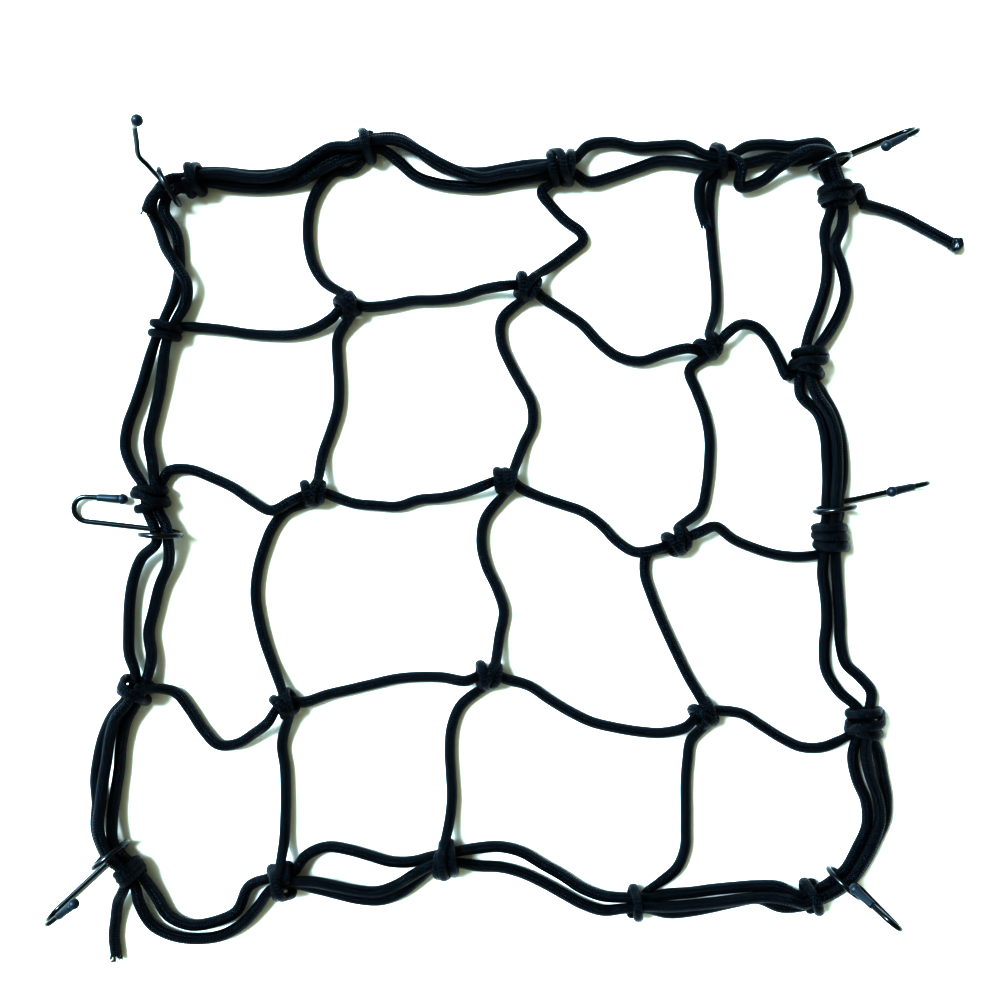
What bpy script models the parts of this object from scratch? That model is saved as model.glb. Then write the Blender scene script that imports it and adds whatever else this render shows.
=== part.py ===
"""Knotted elastic cargo net with six wire hooks, laid out on a flat surface.

Three column cords and three row cords are knotted to each other and to a border of two or three parallel
cords. Every cord starts on a route chosen by hand, in millimetres, and settle() then lifts and shifts the
cords until none runs through another. The net lies on z = 0. The origin is under the centre knot.
+X is to the right and +Y is to the top of the laid-out net.
"""
import math

import bmesh
import bpy
import numpy as np
from mathutils import Matrix, Vector

# ---------------------------------------------------------------- driving dimensions, millimetres
CORD_R = 2.5            # radius of the round elastic cord
KNOT_NECK_R = 2.05      # the same cord squeezed inside a knot
EYE_NECK_R = 2.2        # and inside the eye of a hook
STRAND_GAP = 0.5        # between strands gathered in a knot or an eye
GAP = 0.35              # clear space kept between neighbouring cords
WRAP = 3.2              # thickness of the cord that is wrapped round the border strands
KNOT_LENGTH = 8.4       # an edge knot along the border
KNOT_REACH = 4.6        # half of the straight stretch of a strand in an edge knot
EYE_REACH = 3.0         # half of the straight stretch of a strand in a hook's eye
BUTT_GAP = 0.3          # between two cord ends, and between a cord end and a knot
STEP = 10.5             # longest facet along a cord
LIFT_FADE = 12.0        # a cord sinks back to the surface over about this length
NEAREST = 5.0           # route points nearer than this to a fixed end are left out
SHARP = 35.0            # a route that turns by more degrees than this at a point keeps that point
CENTRE_R = 7.6          # a row cord ends this far from the middle of an inner knot

WIRE_R = 1.1            # hook wire
TIP_R = 0.65            # the same wire, turned down where the cap sits
EYE_R = 7.9             # middle of the wire round the eye
SHANK = 34.0            # from below the eye's centre to the start of the bend
BEND_R = 5.2            # middle of the wire round the bend
RETURN = 5.6            # straight wire between the bend and the cap
TIP = 9.0               # length of the turned-down tip
CAP_MOUTH_R = 1.5       # outside of the cap's sleeve at its mouth
CAP_R = 1.8             # and at its far end
CAP_BORE_R = 1.05       # its bore
CAP_BALL_R = 2.2        # its round end
EYE_TURN_END = math.radians(-405.0)     # the eye's wire runs from -90 degrees down to this angle
EYE_DRIFT = 1.45        # the two ends of the eye lie this far to each side of its middle plane
EYE_HEIGHT = 8.86       # the eye's centre above the surface, so the wire's lowest facet rests on it
EYE_SAG = 1.2           # the strands in an eye hang this far below its centre

# Inner knots: name, x, y.
INNER_KNOTS = {
    "K11": (-65, 72), "K12": (9, 80), "K13": (84, 55),
    "K21": (-79, -5), "K22": (0, 0), "K23": (71, -25),
    "K31": (-91, -92), "K32": (-7, -80), "K33": (82, -96),
}

# Shape of an inner knot along its column cord: offset along, half width, half height.
KNOT_PROFILE = (
    (-7.2, 2.4, 2.4), (-6.0, 4.7, 3.8), (-4.0, 6.1, 4.8), (-2.0, 5.5, 4.4), (0.0, 6.3, 5.0),
    (2.0, 5.5, 4.4), (4.0, 6.1, 4.8), (6.0, 4.7, 3.8), (7.2, 2.4, 2.4),
)

# Strands side by side in a knot or an eye, as shares of their pitch: outward, upward.
BUNDLES = {
    "pair": ((0.5, 0.0), (-0.5, 0.0)),
    "triangle": ((0.5, -0.2887), (-0.5, -0.2887), (0.0, 0.5774)),
}

# Places where the border strands are gathered, clockwise: x, y, heading in degrees, bundle, kind.
STATIONS = {
    "TL": (-128, 124, 15, "triangle", "corner"),
    "T1": (-57, 138, 15, "triangle", "edge"),
    "T2": (23, 129, 5, "triangle", "edge"),
    "T3": (88, 132, 0, "triangle", "edge"),
    "HTR": (133, 130.5, -75, "triangle", "eye"),
    "TR": (136.5, 118, -84, "triangle", "corner"),
    "R1": (125, 49, -100, "triangle", "edge"),
    "HR": (134.8, -11.5, -88, "triangle", "eye"),
    "R2": (134, -23.5, -90, "triangle", "edge"),
    "R3": (148, -99, -90, "triangle", "edge"),
    "HBR": (139, -164, -140, "triangle", "eye"),
    "BR": (126.5, -171.5, 200, "triangle", "corner"),
    "B3": (54, -174, 180, "triangle", "edge"),
    "B2": (-25, -156, 190, "triangle", "edge"),
    "B1": (-92, -165, 192, "triangle", "edge"),
    "BL": (-154.5, -161, 133, "triangle", "corner"),
    "HBL": (-161.5, -153, 126, "triangle", "eye"),
    "L3": (-152, -86, 67, "triangle", "edge"),
    "HL": (-141, -22, 98, "pair", "eye"),
    "L2": (-146, -7, 97, "pair", "edge"),
    "L1": (-140, 62, 67, "pair", "edge"),
    "HTL": (-138, 120, 39, "pair", "eye"),
}

# Border strands, each from one corner knot or edge knot to the next. Strand a is the outer one.
# An entry is (station, slot in its bundle) or a point (x, y) or (x, y, z).
BORDER = {
    "top_border_a": (("TL", 0), (-120, 127.5), (-111, 126.5), (-98, 126.5), (-87, 128), (-77, 131.5), (-68, 136),
                     ("T1", 0), (-44, 141), (-37, 138), (-30, 132), (-23, 129), (-15, 128), (-6, 128),
                     (2, 130), (12, 131), ("T2", 0), (32, 138), (39, 140.5), (48, 140.5), (57, 137.5),
                     (65, 139), (76, 139), ("T3", 0), (98, 138), (107, 139.5), (118, 138.5), (126, 135.5), ("HTR", 0),
                     ("TR", 0)),
    "top_border_b": (("TL", 1), (-120, 123), (-111, 122), (-98, 122), (-87, 124), (-77, 128), (-68, 132),
                     ("T1", 1), (-46, 130), (-38, 126.5), (-27, 123), (-17, 122), (-7, 122), (1, 124),
                     (10, 125.5), ("T2", 1), (34, 123), (40, 124), (48, 128), (56, 130), (66, 133.3),
                     (76, 133), ("T3", 1), (99, 133), (111, 134), (121, 131.5), ("HTR", 1), ("TR", 1)),
    "top_border_c": (("TL", 2), (-120, 126, 7), (-111, 125, 7), (-98, 124, 7), (-87, 127, 7), (-77, 130, 7),
                     (-68, 135, 8), ("T1", 2), (-47, 140, 7.6), (-38, 137, 7.6), (-29, 131.5, 7.6), (-21, 127.5, 7.6),
                     (-9, 124, 7), (0, 126, 7), (10, 127, 8), ("T2", 2)),
    "top_border_loop": (("T3", 2), (93, 126.5, 8), (96, 120.5, 5), (103, 121.5, 4), (110, 127, 6), (118, 132.5, 8),
                        ("HTR", 2), ("TR", 2)),
    "right_border_a": (("TR", 0), (133, 106, 7.8), (134.3, 97, 7.8), (139, 88, 5), (141.5, 79), (139.5, 71), (134.5, 62),
                       ("R1", 0), (130.5, 37), (136, 28), (139, 19), (140, 8), (139.5, 0), ("HR", 0),
                       ("R2", 0), (137, -36), (138, -47), (139, -58), (139, -67), (141, -76), (147, -81),
                       (152, -87), ("R3", 0), (154, -111), (156, -120), (158, -129), (158.5, -138),
                       (154.5, -147), ("HBR", 0), ("BR", 0)),
    "right_border_b": (("TR", 1), (132.7, 106), (133.7, 97), (134.3, 90), (133, 81), (130, 71), (126, 62),
                       ("R1", 1), (125, 36), (130.5, 28), (133, 19), (133.5, 8), (133.5, 0), ("HR", 1),
                       ("R2", 1), (131, -36), (132, -44), (134, -53), (133, -62), (132, -71), (132.5, -78),
                       (137.5, -87), ("R3", 1), (143.5, -112), (144.5, -121), (149, -130), (151, -139),
                       (148.5, -148), ("HBR", 1), ("BR", 1)),
    "right_border_c": (("R1", 2), (127, 37, 8), (133, 28, 7), (136, 19, 7), (136.5, 9, 7), (136, -1, 9),
                       ("HR", 2), ("R2", 2)),
    "right_border_d": (("R3", 2), (147.5, -110, 8), (149.5, -120, 7), (153, -129, 7), (154.5, -138, 7),
                       (151.5, -147, 8), ("HBR", 2), ("BR", 2)),
    "bottom_border_a": (("BR", 0), (117, -172.5), (104, -172.5), (89, -176), (74, -178.5), (64, -178.5), ("B3", 0),
                        (43, -178), (35, -177), (28, -173), (22, -170), (17, -167), (10, -164), (2, -160),
                        (-8, -160), (-16, -158), ("B2", 0), (-37, -165.5), (-43, -170.5), (-49, -173.5),
                        (-56, -174), (-64, -172.5), (-73, -170), (-83, -167), ("B1", 0), (-102, -176),
                        (-108, -183), (-115, -188), (-125, -190), (-133, -190), (-140, -188), (-147, -184),
                        (-151, -177), (-152, -170), ("BL", 0)),
    "bottom_border_b": (("BR", 1), (117, -168), (105, -168), (89, -169), (74, -171), (63, -171), ("B3", 1),
                        (45, -173), (38, -171), (30, -168), (23, -163), (14, -158), (10, -155), (2, -152),
                        (-8, -151), (-16, -153), ("B2", 1), (-35, -157), (-42, -158), (-49, -157.7),
                        (-55, -155.7), (-63, -153.3), (-70, -151.5), (-77, -151.5), (-83, -155), ("B1", 1),
                        (-102, -169), (-106, -174), (-110.5, -178.5), (-117, -182), (-125, -184),
                        (-132, -184.5), (-138, -182), (-142, -178), (-145, -173), (-148, -168), ("BL", 1)),
    "bottom_border_c": (("BR", 2), (117, -170, 8), (104, -171, 7), (89, -173, 7), (74, -175, 6),
                        (63, -175, 8), ("B3", 2)),
    "bottom_border_d": (("B2", 2), (-36, -161, 8), (-43, -166, 6), (-51, -169.5, 5.5), (-59, -169.5, 5.5),
                        (-67, -167.5, 6), (-76, -165.5, 7), (-83, -164, 8), ("B1", 2)),
    "left_border_a": (("BL", 0), ("HBL", 0), (-168, -138), (-170, -127), (-169, -116), (-167, -107),
                      (-164, -99), ("L3", 0), (-155, -76), (-156, -68), (-156, -60), (-156, -53),
                      (-155, -46), (-153.5, -38), (-150, -31), ("HL", 0), ("L2", 0), (-153, 3), (-156, 9),
                      (-158, 15), (-157, 22), (-155, 28), (-152, 35), (-149.5, 43), (-147, 51), ("L1", 0),
                      (-139, 72), (-136, 78), (-135, 86), (-135.5, 94), (-136, 102, 3), (-141, 110, 7),
                      ("HTL", 1), ("TL", 1)),
    "left_border_b": (("BL", 1), ("HBL", 1), (-162.5, -138), (-161.5, -130), (-160, -121), (-159.5, -112),
                      (-158.5, -104), (-155.5, -96), ("L3", 1), (-149, -76), (-148.3, -70), (-147.8, -63),
                      (-146, -55), (-144, -47), (-142, -39), (-141, -31), ("HL", 1), ("L2", 1), (-144, 3),
                      (-147, 10), (-148, 16), (-147, 23), (-144.3, 31), (-143, 38), (-142, 45),
                      (-140.5, 52),
                      ("L1", 1), (-133, 71), (-130.7, 77, 3), (-131.5, 84, 8), (-137, 92, 8), (-141, 100, 4),
                      (-143.5, 109), (-144, 115, 4), ("HTL", 0), ("TL", 0)),
    "left_border_c": (("BL", 2), ("HBL", 2), (-166, -139, 8), (-166, -128, 7), (-164, -117, 7),
                      (-163, -108, 7), (-160, -97, 8), ("L3", 2)),
}

# Mesh cords. A column runs on through its inner knots, and a row is cut at each of them.
# The first and last entries are the edge knots that the cord's ends are tied into.
COLUMNS = {
    "column_cord_1": ("T1", (-66, 134), (-73.5, 131), (-78.5, 122), (-81.5, 111), (-82, 101), (-80, 90), (-75, 82),
                      "K11", (-70, 60), (-70, 53), (-69, 45), (-69, 34), (-70, 26), (-73, 19), (-76, 12),
                      "K21", (-90, -11), (-95, -16), (-99, -24), (-102, -34), (-104, -43), (-103, -53),
                      (-101, -63), (-98, -72), (-95, -80), "K31", (-93, -107), (-92, -114), (-91, -122),
                      (-91, -130), (-91, -138), (-91.5, -147), "B1"),
    "column_cord_2": ("T2", (14, 120), (17, 116), (22, 111), (27, 106), (32, 103), (33, 100), (30, 97),
                      (24, 93), (18, 88), "K12", (0, 72), (-2, 65), (-2, 58), (1, 51), (5, 43), (10, 36),
                      (12, 29), (12, 24), (9, 17), (5, 11), "K22", (-8, -14), (-10, -23), (-10, -31),
                      (-7, -37), (-4, -43), (-1, -50), (0, -57), (-2, -63), (-4, -70), "K32", (-18, -92),
                      (-22, -100), (-23, -108), (-23, -117), (-22, -125), (-22, -133), (-23, -141), "B2"),
    "column_cord_3": ("T3", (84, 118), (85, 106), (86, 97), (87, 87), (88, 76), (87, 66), "K13", (76, 47),
                      (77.5, 42), (80.5, 35), (83.5, 27), (85, 19), (85, 10), (84, 2), (83.5, -6), (81, -13), "K23",
                      (59, -29), (57, -35), (59, -42), (62, -51), (66, -60), (70, -69), (74, -77), (78, -85),
                      "K33", (77, -107), (76, -113), (75, -123), (75, -133), (75, -143), (75, -152),
                      (72, -161), "B3"),
}
ROWS = {
    "row_cord_1": ("L1", (-123, 64), (-113, 62), (-104, 60.8), (-91, 60.4), (-82, 61.4), (-75, 65), "K11",
                   (-51, 72), (-44, 74), (-38, 75), (-27, 75), (-19, 76), (-10, 79), (-2, 80), "K12",
                   (16, 75.5), (24, 70.5), (32, 65.3), (37, 59.3), (42, 54.5), (49, 50), (55, 49), (62, 51), (69, 54),
                   "K13", (97, 65), (104, 64), (109, 59), (112, 54), (114, 47), (117, 42), "R1"),
    "row_cord_2": ("L2", (-140, 5), (-135, 6), (-130, 5), (-123, 2), (-115, -1), (-108, -6), (-101, -10.7),
                   (-96, -13, 7), (-92, -12, 8), (-87, -8, 8), "K21", (-72, -6), (-65, -9), (-55, -10),
                   (-47, -11), (-41, -10), (-34, -7), (-26, -7), (-17, -5), (-9, -2), "K22", (13, -6),
                   (21, -9), (29, -11), (35, -14), (41, -19), (46, -25), (51, -29), (56, -30, 7),
                   "K23", (87, -18), (92, -23), (99, -26), (106, -29),
                   (114, -31), (122, -32), "R2"),
    "row_cord_3": ("L3", (-145, -82), (-138, -86), (-132.6, -91.5), (-128.6, -98.5), (-123.6, -105.5), (-119, -110),
                   (-113, -110), (-106, -106), (-99, -101), "K31", (-84, -91.5), (-76, -89), (-67, -87),
                   (-58, -85), (-46, -82), (-35, -81), (-25, -81), (-16, -82), "K32", (1, -82), (9, -84),
                   (17, -89.7), (25, -94.7), (34, -99.5), (44, -102), (57, -104), (67, -104), (74, -101), "K33",
                   (89, -95), (96, -95), (103, -99), (110, -104), (117, -108), (124, -111), (132, -111),
                   "R3"),
}

# Free cord ends and short stubs: points x, y, z.
TAILS = {
    "tail_top_right": ((147.5, 114.5, 5.0), (152, 113.5, 3.6), (160, 112, 2.6), (168, 108, 2.55),
                       (176, 104, 2.55), (182, 100.5, 2.55), (187, 98, 2.55)),
    "tail_bottom_left": ((-159.8, -173.5, 4.5), (-160.8, -178, 3.2), (-162, -184, 2.55),
                         (-162.3, -190, 2.55), (-161.5, -196.5, 2.55)),
}
STUBS = {
    "stub_top_left": ((-140, 118, 12.5), (-143.5, 115, 11.5), (-146.5, 110.5, 9)),
    "stub_third_column": ((80.3, 122, 6.0), (80, 115, 6.2), (82.3, 106, 7.0)),
}

# Hooks: eye station, azimuth of the shank, its elevation, angle of the bend, roll of the bend about the
# shank, side of the eye's loose end, sideways set in the shank. All angles are in degrees.
HOOKS = {
    "left": ("HL", 173.5, 0, 177, 80, -1, 0),
    "right": ("HR", 13, 4, 158, -3, 1, 0),
    "top_left": ("HTL", 122, 80, 32, -12, 1, -21),
    "top_right": ("HTR", 22, 0, 162, 20, 1, 0),
    "bottom_left": ("HBL", 223, 0, 162, -12, 1, 0),
    "bottom_right": ("HBR", -37, 84, 158, -2, 1, 0),
}

# Solver of settle(): rounds with smoothing, rounds with contacts only, share of each push applied.
ROUNDS_SHAPING = 260
ROUNDS_CLEARING = 240
PUSH_SHARE = 0.45
SMOOTH_SHARE = 0.02
RETURN_SHARE = 0.10
FLOOR_SHARE = math.cos(math.pi / 6)     # centre height of a six-sided cord that lies on a flat facet


# ---------------------------------------------------------------- routes
def heading_vectors(degrees):
    """Unit vectors along a heading and to its left, both level."""
    angle = math.radians(degrees)
    along = np.array((math.cos(angle), math.sin(angle), 0.0))
    left = np.array((-math.sin(angle), math.cos(angle), 0.0))
    return along, left


def neck_radius(kind):
    """Radius of a strand where it is gathered."""
    return EYE_NECK_R if kind == "eye" else KNOT_NECK_R


def bundle_pitch(kind):
    """Distance between the middles of neighbouring strands in a bundle."""
    return 2.0 * neck_radius(kind) + STRAND_GAP


def collar_loops(station):
    """Rings of points of the wrap round a bundle, relative to the bundle's middle.

    The wrap is a band whose section is a flattened hexagon. Its inner wall follows the outline of the
    gathered strands, an arc round each strand joined by straight lines. Returns an array indexed by
    outline point, section point and coordinate.
    """
    _, _, heading, bundle, kind = STATIONS[station]
    along, left = heading_vectors(heading)
    up = np.array((0.0, 0.0, 1.0))
    centres = [bundle_pitch(kind) * (out * left + rise * up) for out, rise in BUNDLES[bundle]]
    if bundle == "pair":
        arcs = ((0, -90.0, 90.0), (1, 90.0, 270.0))
        steps = 6
    else:
        arcs = ((0, -90.0, 30.0), (2, 30.0, 150.0), (1, 150.0, 270.0))
        steps = 3
    inner = KNOT_NECK_R + GAP
    section = [math.radians(angle) for angle in (180, 120, 60, 0, -60, -120)]
    section = [angle + math.pi / 6 for angle in section]
    rings = []
    for slot, first, last in arcs:
        for step in range(steps + 1):
            angle = math.radians(first + (last - first) * step / steps)
            normal = math.cos(angle) * left + math.sin(angle) * up
            rings.append([centres[slot] + (inner + WRAP / 2 * (1 - math.cos(turn))) * normal
                          + KNOT_LENGTH / 2 * math.sin(turn) * along for turn in section])
    return np.array(rings)


def station_height(station):
    """Height of the middle of a gathered bundle above the surface."""
    if STATIONS[station][4] == "eye":
        return EYE_HEIGHT - EYE_SAG
    return -float(collar_loops(station)[:, :, 2].min())


def station_point(station, slot, offset):
    """Middle of one strand at a distance along the heading from a station's middle."""
    x, y, heading, bundle, kind = STATIONS[station]
    along, left = heading_vectors(heading)
    out, rise = BUNDLES[bundle][slot]
    pitch = bundle_pitch(kind)
    point = np.array((x, y, station_height(station) + rise * pitch)) + left * out * pitch + along * offset
    return point


def border_controls(entries):
    """Control rows (x, y, z, half width, half height, fixed) of a border strand."""
    rows = []
    for index, entry in enumerate(entries):
        if not isinstance(entry[0], str):
            rows.append([entry[0], entry[1], entry[2] if len(entry) > 2 else None, CORD_R, CORD_R, 0])
            continue
        station, slot = entry
        kind = STATIONS[station][4]
        reach = EYE_REACH if kind == "eye" else KNOT_REACH
        offsets = (-reach, reach)
        if index == 0:
            offsets = (BUTT_GAP / 2, reach)
        elif index == len(entries) - 1:
            offsets = (-reach, -BUTT_GAP / 2)
        for offset in offsets:
            point = station_point(station, slot, offset)
            rows.append([*point, neck_radius(kind), neck_radius(kind), 1])
    return rows


def knot_foot(station, toward):
    """Point in an edge knot's wrap where a mesh cord is tied in, on the knot's inner side."""
    x, y, heading, bundle, kind = STATIONS[station]
    along, left = heading_vectors(heading)
    middle = np.array((x, y, 0.0))
    step = np.array((toward[0], toward[1], 0.0)) - middle
    reach = max(-1.6, min(1.6, float(step @ along)))
    inner_wall = 0.5 * bundle_pitch(kind) + KNOT_NECK_R + GAP
    base = middle + along * reach - left * inner_wall
    leave = np.array((toward[0], toward[1], 0.0)) - base
    sideways = abs(float(leave @ along)) / float(np.linalg.norm(leave))
    base = base - left * (0.25 + CORD_R * sideways)
    base[2] = station_height(station) - 0.2887 * bundle_pitch(kind)
    return base


def far_enough(point, ends):
    """Whether a route point keeps its distance from the fixed ends of its stretch."""
    return all(math.dist(point[:2], end[:2]) > NEAREST for end in ends)


def column_controls(entries):
    """Control rows of a column cord, with the swelling of each inner knot on its way."""
    rows = []
    last = len(entries) - 1
    for index, entry in enumerate(entries):
        if entry in STATIONS:
            neighbour = entries[1] if index == 0 else entries[last - 1]
            rows.append([*knot_foot(entry, neighbour), CORD_R, CORD_R, 1])
        elif entry in INNER_KNOTS:
            centre = np.array((*INNER_KNOTS[entry], 0.0))
            run = np.subtract(entries[index + 1], entries[index - 1])
            run = np.array((run[0], run[1], 0.0)) / math.hypot(*run)
            for offset, half_width, half_height in KNOT_PROFILE:
                point = centre + run * offset
                rows.append([point[0], point[1], half_height * FLOOR_SHARE,
                             half_width, half_height, 1])
        else:
            rows.append([entry[0], entry[1], None, CORD_R, CORD_R, 0])
    return rows


def column_heading(name):
    """Level direction in which the column cord passes through an inner knot."""
    for entries in COLUMNS.values():
        if name in entries:
            index = entries.index(name)
            run = np.subtract(entries[index + 1], entries[index - 1])
            return run / np.linalg.norm(run)
    raise ValueError(name)


def row_end(name, toward):
    """End of a row cord against an inner knot: over the column cord where the two leave side by side."""
    centre = np.array(INNER_KNOTS[name], dtype=float)
    leave = np.subtract(toward[:2], centre)
    leave = leave / np.linalg.norm(leave)
    beside = abs(float(leave @ column_heading(name))) > math.cos(math.radians(58))
    height = 7.9 if beside else 4.4
    reach = CENTRE_R + (1.8 if beside else 0.0)
    point = centre + leave * reach
    return [point[0], point[1], height, CORD_R, CORD_R, 1]


def row_controls(entries):
    """The four lengths of a row cord, each a list of control rows."""
    cuts = [index for index, entry in enumerate(entries) if entry in INNER_KNOTS or entry in STATIONS]
    lengths = []
    for first, last in zip(cuts[:-1], cuts[1:]):
        ends = []
        for index, neighbour in ((first, entries[first + 1]), (last, entries[last - 1])):
            if entries[index] in STATIONS:
                ends.append([*knot_foot(entries[index], neighbour), CORD_R, CORD_R, 1])
            else:
                ends.append(row_end(entries[index], neighbour))
        between = [[entry[0], entry[1], entry[2] if len(entry) > 2 else None, CORD_R, CORD_R, 0]
                   for entry in entries[first + 1:last] if far_enough(entry, ends)]
        lengths.append([ends[0], *between, ends[1]])
    return lengths


def fill_heights(rows):
    """Give each free point a height that fades from the nearest given heights down to the surface."""
    rest = CORD_R * FLOOR_SHARE
    places = np.array([row[:2] for row in rows], dtype=float)
    run = np.concatenate(([0.0], np.cumsum(np.linalg.norm(np.diff(places, axis=0), axis=1))))
    known = [index for index, row in enumerate(rows) if row[2] is not None]
    for index, row in enumerate(rows):
        if row[2] is not None:
            continue
        lift = 0.0
        for other in known:
            nearest_before = other == max((k for k in known if k < index), default=-1)
            nearest_after = other == min((k for k in known if k > index), default=-1)
            if nearest_before or nearest_after:
                lift += (rows[other][2] - rest) * math.exp(-abs(run[other] - run[index]) / LIFT_FADE)
        row[2] = rest + max(lift, 0.0)
    return rows


def smooth_points(rows):
    """Centripetal Catmull-Rom curve through control rows, with evenly spaced points at most STEP apart.

    Two fixed rows in a row are joined by a straight line. Returns rows x, y, z, half sizes, fixed mark.
    """
    table = np.array(fill_heights(rows), dtype=float)
    points = table[:, :3]
    padded = np.vstack((2 * points[0] - points[1], points, 2 * points[-1] - points[-2]))
    runs = np.diff(points[:, :2], axis=0)
    turns = [0.0, *turn_angles(runs), 0.0]
    marks = [index for index, row in enumerate(table)
             if row[5] or turns[index] > SHARP or index in (0, len(table) - 1)]
    out = [table[0]]
    for first, last in zip(marks[:-1], marks[1:]):
        if last > first + 1:
            dense = [catmull_rom(padded[index:index + 4], share)
                     for index in range(first, last) for share in np.arange(8) / 8]
            dense = np.array(dense + [points[last]])
            run = np.concatenate(([0.0], np.cumsum(np.linalg.norm(np.diff(dense, axis=0), axis=1))))
            places = np.linspace(0.0, run[-1], math.ceil(run[-1] / STEP) + 1)[1:-1]
            for place in places:
                spot = [np.interp(place, run, dense[:, axis]) for axis in range(3)]
                out.append(np.array([*spot, CORD_R, CORD_R, 0.0]))
        out.append(table[last])
    return np.array(out)


def turn_angles(runs):
    """Angles in degrees between neighbouring level runs."""
    angles = np.arctan2(runs[:, 1], runs[:, 0])
    turns = (np.diff(angles) + math.pi) % (2 * math.pi) - math.pi
    return list(np.degrees(np.abs(turns)))


def catmull_rom(four, share):
    """Point on a centripetal Catmull-Rom span between the second and third of four points."""
    knots = [0.0]
    for before, after in zip(four[:-1], four[1:]):
        knots.append(knots[-1] + max(float(np.linalg.norm(after - before)), 1e-6) ** 0.5)
    t = knots[1] + (knots[2] - knots[1]) * share

    def blend(a, b, ta, tb):
        return a + (b - a) * ((t - ta) / (tb - ta))

    first = blend(four[0], four[1], knots[0], knots[1])
    second = blend(four[1], four[2], knots[1], knots[2])
    third = blend(four[2], four[3], knots[2], knots[3])
    left = blend(first, second, knots[0], knots[2])
    right = blend(second, third, knots[1], knots[3])
    return blend(left, right, knots[1], knots[2])


# ---------------------------------------------------------------- hooks
def hook_axes(name):
    """Eye centre and the unit vectors outward along the shank, along the eye's axis and upward."""
    station, azimuth, elevation = HOOKS[name][:3]
    x, y = STATIONS[station][:2]
    outward, _ = heading_vectors(azimuth)
    up = np.array((0.0, 0.0, 1.0))
    axis = np.cross(outward, up)
    tilt = math.radians(elevation)
    shank = math.cos(tilt) * outward + math.sin(tilt) * up
    rise = math.cos(tilt) * up - math.sin(tilt) * outward
    return np.array((x, y, EYE_HEIGHT)), shank, axis, rise


def hook_path(name):
    """Middle line of a hook's wire from the eye's loose end to the shoulder, and its last direction.

    In the hook's own plane the first coordinate runs out along the shank and the second rises from it.
    """
    _, _, _, bend, roll, side, sideways = HOOKS[name]
    centre, shank, axis, rise = hook_axes(name)
    eye_steps = 18
    turns = np.linspace(EYE_TURN_END, math.radians(-90.0), eye_steps + 1)
    drift = np.linspace(1.0, -1.0, eye_steps + 1) * EYE_DRIFT * side
    points = [centre + EYE_R * (math.cos(turn) * shank + math.sin(turn) * rise) + shift * axis
              for turn, shift in zip(turns, drift)]
    base = points[-1]
    set_angle = math.radians(sideways)
    run = math.cos(set_angle) * shank - math.sin(set_angle) * axis
    across = math.cos(set_angle) * axis + math.sin(set_angle) * shank
    points.append(base + shank * SHANK * 0.25)
    points.append(base + shank * SHANK * 0.5)
    elbow = points[-1]
    points.append(elbow + run * SHANK * 0.25)
    bend_start = elbow + run * SHANK * 0.5
    roll_angle = math.radians(roll)
    inward = math.cos(roll_angle) * rise + math.sin(roll_angle) * across
    pivot = bend_start + inward * BEND_R
    bend_steps = max(3, round(bend / 20))
    for angle in np.radians(np.linspace(0.0, bend, bend_steps + 1)):
        points.append(pivot + BEND_R * (math.sin(angle) * run - math.cos(angle) * inward))
    last = math.radians(bend)
    direction = math.cos(last) * run + math.sin(last) * inward
    points.append(points[-1] + direction * RETURN)
    return np.array(points), direction


# ---------------------------------------------------------------- settling the cords
def closest_shares(a0, a1, b0, b1):
    """Shares along two sets of straight pieces where each pair comes closest."""
    da, db, gap = a1 - a0, b1 - b0, a0 - b0
    aa = np.maximum((da * da).sum(1), 1e-9)
    bb = np.maximum((db * db).sum(1), 1e-9)
    ab, ag, bg = (da * db).sum(1), (da * gap).sum(1), (db * gap).sum(1)
    det = aa * bb - ab * ab
    s = np.where(det > 1e-9, (ab * bg - ag * bb) / np.maximum(det, 1e-9), 0.5)
    s = np.clip(s, 0.0, 1.0)
    t = np.clip((ab * s + bg) / bb, 0.0, 1.0)
    s = np.clip((ab * t - ag) / aa, 0.0, 1.0)
    return s, t


def meeting_pairs(strands):
    """Pairs of straight pieces of different strands that may not run through each other."""
    ends, owner, base = [], [], 0
    for index, strand in enumerate(strands):
        count = len(strand["table"])
        ends.extend((base + k, base + k + 1) for k in range(count - 1))
        owner.extend([index] * (count - 1))
        base += count
    ends, owner = np.array(ends), np.array(owner)
    first, second = np.triu_indices(len(ends), 1)
    keep = owner[first] != owner[second]
    for index, strand in enumerate(strands):
        for other in strand["ignores"]:
            pair = {index, other}
            keep &= ~(np.isin(owner[first], list(pair)) & np.isin(owner[second], list(pair))
                      & (owner[first] != owner[second]))
    return ends, first[keep], second[keep]


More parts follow.
